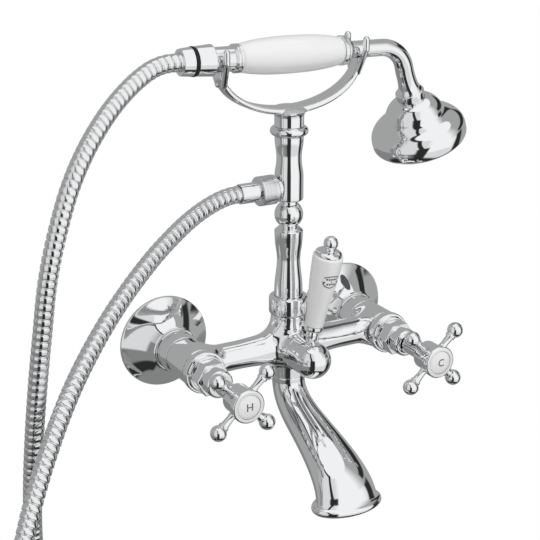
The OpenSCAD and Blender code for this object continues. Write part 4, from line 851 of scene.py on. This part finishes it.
SADDLE_R, SADDLE_Z, SADDLE_LEN = 8.6, 209.3, 130
PRONG_R, TAB_R = 2.1, 2.3
along_handset = shift(0, -REACH, SADDLE_Z) @ turn(90, "Y")
cut_away(band, cylinder(-SADDLE_LEN / 2, SADDLE_LEN, SADDLE_R, along_handset, 96))
bpy.ops.object.shade_smooth_by_angle(angle=math.radians(30))
pieces = [band]
for x in (-1, 1):
    for y in (-1, 1):
        root = (51.4 * x, -REACH + 4.2 * y, 192)
        knee = (53 * x, -REACH + 11.8 * y, 208.4)
        tip = (*knee[:2], 215.2)
        pieces += [rod(root, knee, PRONG_R), rod(knee, tip, TAB_R)]
outline = ([(0, 159.6), (10.15, 159.6, 0.4), (10.15, 165)]
           + curve((10.15, 165.5), (10.15, 168), (10.8, 169.6), (13.4, 170.6)) + [(10, 173), (0, 173)])
pieces.append(placed(spun("neck", outline), column))
finished(joined("handset_rest", pieces), chrome, "mixer", "cradle", slot="chrome")
print("cradle pieces", len(pieces))

# %% [markdown]
# ## Handset
# A porcelain barrel between two chrome cups, a neck and a conical nut on the hose side, and a tube that
# bends down to the bell of the head on the other. The bell is spun from sheet, like the wall flanges.

# %% Handset
half = curve((12.6, 0), (12.6, 19.5), (11.5, 27), (9.5, 38.2), 20)
outline = [(0, -39), (8.9, -39)] + [(r, -h) for r, h in reversed(half)] + half[1:] + [(8.9, 39), (0, 39)]
turned("grip_porcelain", outline, grip_axis, porcelain, "handset", "handset_grip", slot="porcelain")
left = spun("left_cup", [
    (0, -44), (8.1, -44, 0.2), (8.5, -43.6), (9.65, -42.3), (9.65, -41.1, 0.3), (9.1, -40.9),
    (9.1, -40.5), (9.65, -40.3, 0.2), (9.65, -39.05), (0, -39.05)])
outline = ([(0, 39.05), (10.2, 39.05), (10.2, 41.2, 0.4), (9.4, 41.4), (9.4, 41.9), (10, 42.1, 0.2)]
           + curve((10, 42.4), (10, 44.6), (8.0, 44.8), (7.4, 46.4)) + [(6.4, 46.7, 0.2), (0, 46.7)])
cups = placed(joined("grip_cups", [left, spun("right_cup", outline)]), grip_axis)
finished(cups, chrome, "handset", "grip_ferrules", slot="chrome")
outline = [(0, -61), (8.3, -61), (8.3, -44, 0.3), (0, -44)]
turned("inlet_neck", outline, grip_axis, chrome, "handset", "handset_inlet")
outline = [(6, -70.6), (9.7, -70.6, 0.5), (10.5, -58.5, 0.5), (8.4, -58.5), (8.4, -63), (6, -63),
           (6, -70.6)]
turned("cone_coupling", outline, grip_axis, chrome, "handset", "cone_nut")
outline = [(6.1, -81.1), (8.8, -81.1, 0.5), (9.6, -73.2, 0.4), (6.4, -73.2), (6.4, -66), (6.1, -66),
           (6.1, -81.1)]
turned("hose_cone", outline, grip_axis, chrome, "handset", "hose_swivel")
outline = [(6.6, -73.15), (9.9, -73.15, 0.7), (9.9, -70.85, 0.7), (6.6, -70.85), (6.6, -73.15)]
turned("coupling_ring", outline, grip_axis, rubber, "handset", "swivel_ring", slot="rubber")
print("grip done")

# %% Handset tube and head
TUBE_R, SWELL, FLARE_END = 5.9, 0.7, 18
turns = [math.radians(a) for a in np.linspace(90, HEAD_TILT, 28)[1:]]
path = [(x, 0, 0) for x in np.linspace(43, BEND_X, 8)]
swell = np.linspace(0, SWELL, 28)[1:]
path += [(BEND_X + (BEND_R - d) * math.cos(a), 0, (BEND_R - d) * math.sin(a) - BEND_R)
         for d, a in zip(swell, turns)]
drop = Vector((math.sin(math.radians(HEAD_TILT)), 0, -math.cos(math.radians(HEAD_TILT))))
flare = curve((6.6, 4), (6.6, 12), (7.4, 15), (9, 17.4), 16) + [(9, FLARE_END)]
radii = np.array([TUBE_R] * 8 + [TUBE_R + d for d in swell] + [r for r, _ in flare])
beside = Vector((-drop.z, 0, drop.x))
path = [Vector(p) - beside * 1.1 * k / len(path) for k, p in enumerate(path)]
path += [Vector(bend_end) + drop * h - beside * 1.8 * (FLARE_END - h) / FLARE_END for _, h in flare]
centres = np.array([(handset @ (p * MM)) / MM for p in path])
bent = tube_mesh("bent_tube", centres, radii, 64)
finished(bent, chrome, "handset", "handset_tube", slot="chrome")
outline = [(0, FLARE_END), (10.3, FLARE_END, 0.8), (10.3, 24.5, 0.8), (0, 24.5)]
turned("head_ring", outline, head, chrome, "handset", "head_collar")
outline = ([(0, 24.5)] + curve((9.6, 24.5), (14.5, 25.2), (19.6, 29.5), (21.2, 36), 24)
           + curve((21.2, 36), (22.8, 42.4), (34.6, 42.6), (34.5, 53.2), 24)[1:]
           + arc((31.5, 56), 3, 10, 90, 10) + [(30.95, 59), (30.95, 54.9), (0, 54.9)])
turned("head_bell", outline, head, chrome, "handset", "shower_head")
face = frame["nodes"]["head_face"].copy()
face.data = face.data.copy()
face.name = face.data.name = "spray_face"
bpy.context.collection.objects.link(face)
face.hide_render = False
placed(face, head @ cad_head.inverted() @ face.matrix_world)
finished(face, face_plastic, "handset", "head_face", slot="face")
print("head done")

# %% [markdown]
# ## Studio dome
# Chrome shows what stands around it. Here that is a studio, painted in five plain tones on a big dome
# outside the picture: grey walls to the left and behind, a pale panel left of the camera and a white one
# right of it, a dark gap between them, a dark doorway and a curtain farther right, and a white ceiling
# with a dark seam along its left edge. Low in front is a dark gap, and under the object a grey floor. The
# paint is worked out from two angles in degrees: the turn about the upright axis, 0 toward the camera and
# more to the right, and the height above the horizon.


# %% Paint helpers
paint = bpy.data.materials.new("dome_paint")
paint.use_nodes = True
dome_tree = paint.node_tree
dome_tree.nodes.clear()


def calc(operation, a, b=0.0):
    return node(dome_tree, "ShaderNodeMath", {"operation": operation}, {0: a, 1: b}).outputs[0]


def fade(value, low, high):
    """0 below low, 1 above high and an even step between."""
    settings = {"interpolation_type": "SMOOTHSTEP"}
    inputs = {"Value": value, "From Min": low, "From Max": high}
    return node(dome_tree, "ShaderNodeMapRange", settings, inputs).outputs["Result"]


def least(*values):
    """The smallest of some values: from the edges of a shape, how far inside it a point lies."""
    smallest = values[0]
    for value in values[1:]:
        smallest = calc("MINIMUM", smallest, value)
    return smallest


def ring(across, stops):
    """A ring of wall around the object, as (turn, tone) pairs from -180 to 180 degrees."""
    spread = node(dome_tree, "ShaderNodeMapRange", None,
                  {"Value": across, "From Min": -180, "From Max": 180})
    made = node(dome_tree, "ShaderNodeValToRGB", None, {"Fac": spread.outputs["Result"]})
    ramp = made.color_ramp
    ramp.elements[0].position, ramp.elements[0].color = 0, linear(stops[0][1])
    ramp.elements[1].position, ramp.elements[1].color = 1, linear(stops[-1][1])
    for at, colour in stops[1:-1]:
        ramp.elements.new((at + 180) / 360).color = linear(colour)
    return made.outputs["Color"]


def over(amount, under, upper):
    mix = node(dome_tree, "ShaderNodeMix", {"data_type": "RGBA"}, {"Factor": amount})
    for socket, value in ((mix.inputs[6], under), (mix.inputs[7], upper)):
        if isinstance(value, str):
            socket.default_value = linear(value)
        else:
            dome_tree.links.new(value, socket)
    return mix.outputs[2]


print("paint helpers ready")

# %% Dome walls
toward_camera = math.atan2(camera.location.y, camera.location.x)
place = node(dome_tree, "ShaderNodeTexCoord")
aim = node(dome_tree, "ShaderNodeMapping", None,
           {"Vector": place.outputs["Object"], "Rotation": (0, 0, -toward_camera)})
unit = node(dome_tree, "ShaderNodeVectorMath", {"operation": "NORMALIZE"}, {0: aim.outputs["Vector"]})
axes = node(dome_tree, "ShaderNodeSeparateXYZ", None, {"Vector": unit.outputs["Vector"]})
degree = 180 / math.pi
across = calc("MULTIPLY", calc("ARCTAN2", axes.outputs["Y"], axes.outputs["X"]), degree)
height = calc("MULTIPLY", calc("ARCSINE", axes.outputs["Z"]), degree)
# Four rings of wall above the grey floor. Each is a row of plain surfaces with soft edges.
DARK, GREY, WALL, PALE, WHITE = "#2C2C2C", "#848484", "#A4A4A4", "#DCDCDC", "#F6F6F6"
floor_ring = ring(across, [
    (-180, GREY), (-126, GREY), (-112, DARK), (100, DARK), (118, GREY), (180, GREY)])
low_walls = ring(across, [
    (-180, GREY), (-28, GREY), (-13, DARK), (12, DARK), (17, PALE), (87, PALE), (91, DARK), (116, DARK),
    (126, GREY), (180, GREY)])
level_walls = ring(across, [
    (-180, WALL), (-82, WALL), (-75, GREY), (-62, GREY), (-55, PALE), (-18, PALE), (-12, DARK), (12, DARK),
    (16, WHITE), (75, WHITE), (87, PALE), (91, DARK), (109, DARK), (116, WALL), (180, WALL)])
high_walls = ring(across, [
    (-180, WALL), (-80, WALL), (-50, PALE), (4, PALE), (18, WHITE), (66, WHITE), (95, WALL), (180, WALL)])
colour = GREY
for low, high, walls in [(-77, -70, floor_ring), (-51, -43, low_walls), (-22, -17, level_walls),
                         (13, 18, high_walls)]:
    colour = over(fade(height, low, high), colour, walls)
print("dome walls done")

# %% [markdown]
# The curtain stands beside the doorway, with a hem that drops to the right. The dark gap beside the camera
# goes on upwards as a narrow strip that leans to the left. The ceiling starts higher at the back left.

# %% Curtain, strip and ceiling
CURTAIN_LEFT, CURTAIN_RIGHT, CURTAIN_TOP = 97, 154, 32
HEM, HEM_DROP = 46, 0.26
STRIP_FOOT, STRIP_HALF = 8, 7
CEILING, CEILING_RISE, SEAM_HALF, SEAM_STOP = 58, 14, 3, -15
hem = calc("SUBTRACT", HEM, calc("MULTIPLY", across, HEM_DROP))
curtain = least(calc("SUBTRACT", across, CURTAIN_LEFT), calc("SUBTRACT", CURTAIN_RIGHT, across),
                calc("SUBTRACT", height, hem), calc("SUBTRACT", CURTAIN_TOP, height))
colour = over(fade(curtain, -1, 3), colour, DARK)
lean = node(dome_tree, "ShaderNodeMapRange", None, {
    "Value": height, "From Min": STRIP_FOOT, "From Max": 60, "To Min": -2, "To Max": -24}).outputs["Result"]
off_line = calc("ABSOLUTE", calc("SUBTRACT", across, lean))
gap = least(calc("SUBTRACT", STRIP_HALF, off_line), calc("SUBTRACT", height, STRIP_FOOT))
colour = over(fade(gap, -1, 3), colour, DARK)
behind = fade(calc("MULTIPLY", across, -1), 95, 135)
rim = calc("ADD", calc("MULTIPLY", behind, CEILING_RISE), CEILING)
edge = calc("SUBTRACT", height, rim)
colour = over(fade(edge, -1, 1), colour, WHITE)
off_edge = calc("ABSOLUTE", edge)
seam = least(calc("SUBTRACT", SEAM_HALF, off_edge), calc("SUBTRACT", SEAM_STOP, across))
colour = over(fade(seam, 0, 2), colour, DARK)
glow = node(dome_tree, "ShaderNodeEmission", None, {"Color": colour, "Strength": 1})
node(dome_tree, "ShaderNodeOutputMaterial", None, {"Surface": glow.outputs["Emission"]})
print("dome paint nodes", len(dome_tree.nodes))

# %% Dome
bpy.ops.object.select_all(action="DESELECT")
bpy.ops.mesh.primitive_uv_sphere_add(segments=96, ring_count=48, radius=3)
dome = bpy.context.object
dome.name = "studio_dome"
dome.data.materials.append(paint)
bpy.ops.object.shade_smooth()
dome.visible_camera = False
dome.visible_diffuse = False
dome.visible_shadow = False
print("dome", len(dome.data.polygons), "faces")

# %% [markdown]
# ## Floor, lamps and world
# The floor is white card. Seen by the camera it is as bright as the cove, so the picture has no horizon.
# A big soft lamp from the upper right and a weaker one from the left shape the porcelain.

# %% Floor, lamps and world
bpy.ops.object.select_all(action="DESELECT")
bpy.ops.mesh.primitive_plane_add(size=6, location=(0, 0, -0.45))
floor = bpy.context.object
floor.name = "floor"
card, tree, shader = new_material("white_card")
mottled(tree, shader, 900, "#F4F4F4", "#FAFAFA")
shader.inputs["Roughness"].default_value = 0.9
seen = node(tree, "ShaderNodeLightPath")
bright = node(tree, "ShaderNodeEmission", None, {"Strength": 1})
either = node(tree, "ShaderNodeMixShader", None, {0: seen.outputs["Is Camera Ray"],
                                                  1: shader.outputs["BSDF"], 2: bright.outputs["Emission"]})
tree.links.new(either.outputs["Shader"], tree.nodes["Material Output"].inputs["Surface"])
floor.data.materials.append(card)
floor.visible_glossy = False


def lamp(name, spot, size, power):
    bpy.ops.object.select_all(action="DESELECT")
    bpy.ops.object.light_add(type="AREA", location=spot)
    made = bpy.context.object
    made.name = name
    made.data.shape = "DISK"
    made.data.size = size
    made.data.energy = power
    aim = Vector((0, -0.05, 0.08)) - Vector(spot)
    made.rotation_euler = aim.to_track_quat("-Z", "Y").to_euler()
    made.visible_glossy = False
    return made


lamp("key_softbox", (0.45, -1.1, 1.4), 0.7, 14)
lamp("fill_softbox", (-1.5, -0.4, 0.7), 0.9, 3)

world = bpy.data.worlds.new("white_cove")
bpy.context.scene.world = world
world.use_nodes = True
tree = world.node_tree
tree.nodes.clear()
seen = node(tree, "ShaderNodeLightPath")
either = node(tree, "ShaderNodeMath", {"operation": "MAXIMUM"},
              {0: seen.outputs["Is Camera Ray"], 1: seen.outputs["Is Glossy Ray"]})
any_of = node(tree, "ShaderNodeMath", {"operation": "MAXIMUM"},
              {0: either.outputs[0], 1: seen.outputs["Is Transmission Ray"]})
level = node(tree, "ShaderNodeMapRange", None, {"Value": any_of.outputs[0], "To Min": 0.55, "To Max": 1})
sky = node(tree, "ShaderNodeBackground", None, {"Color": (1, 1, 1, 1), "Strength": level.outputs["Result"]})
node(tree, "ShaderNodeOutputWorld", None, {"Surface": sky.outputs["Background"]})
bpy.context.scene.view_settings.view_transform = "Standard"
print("studio ready")
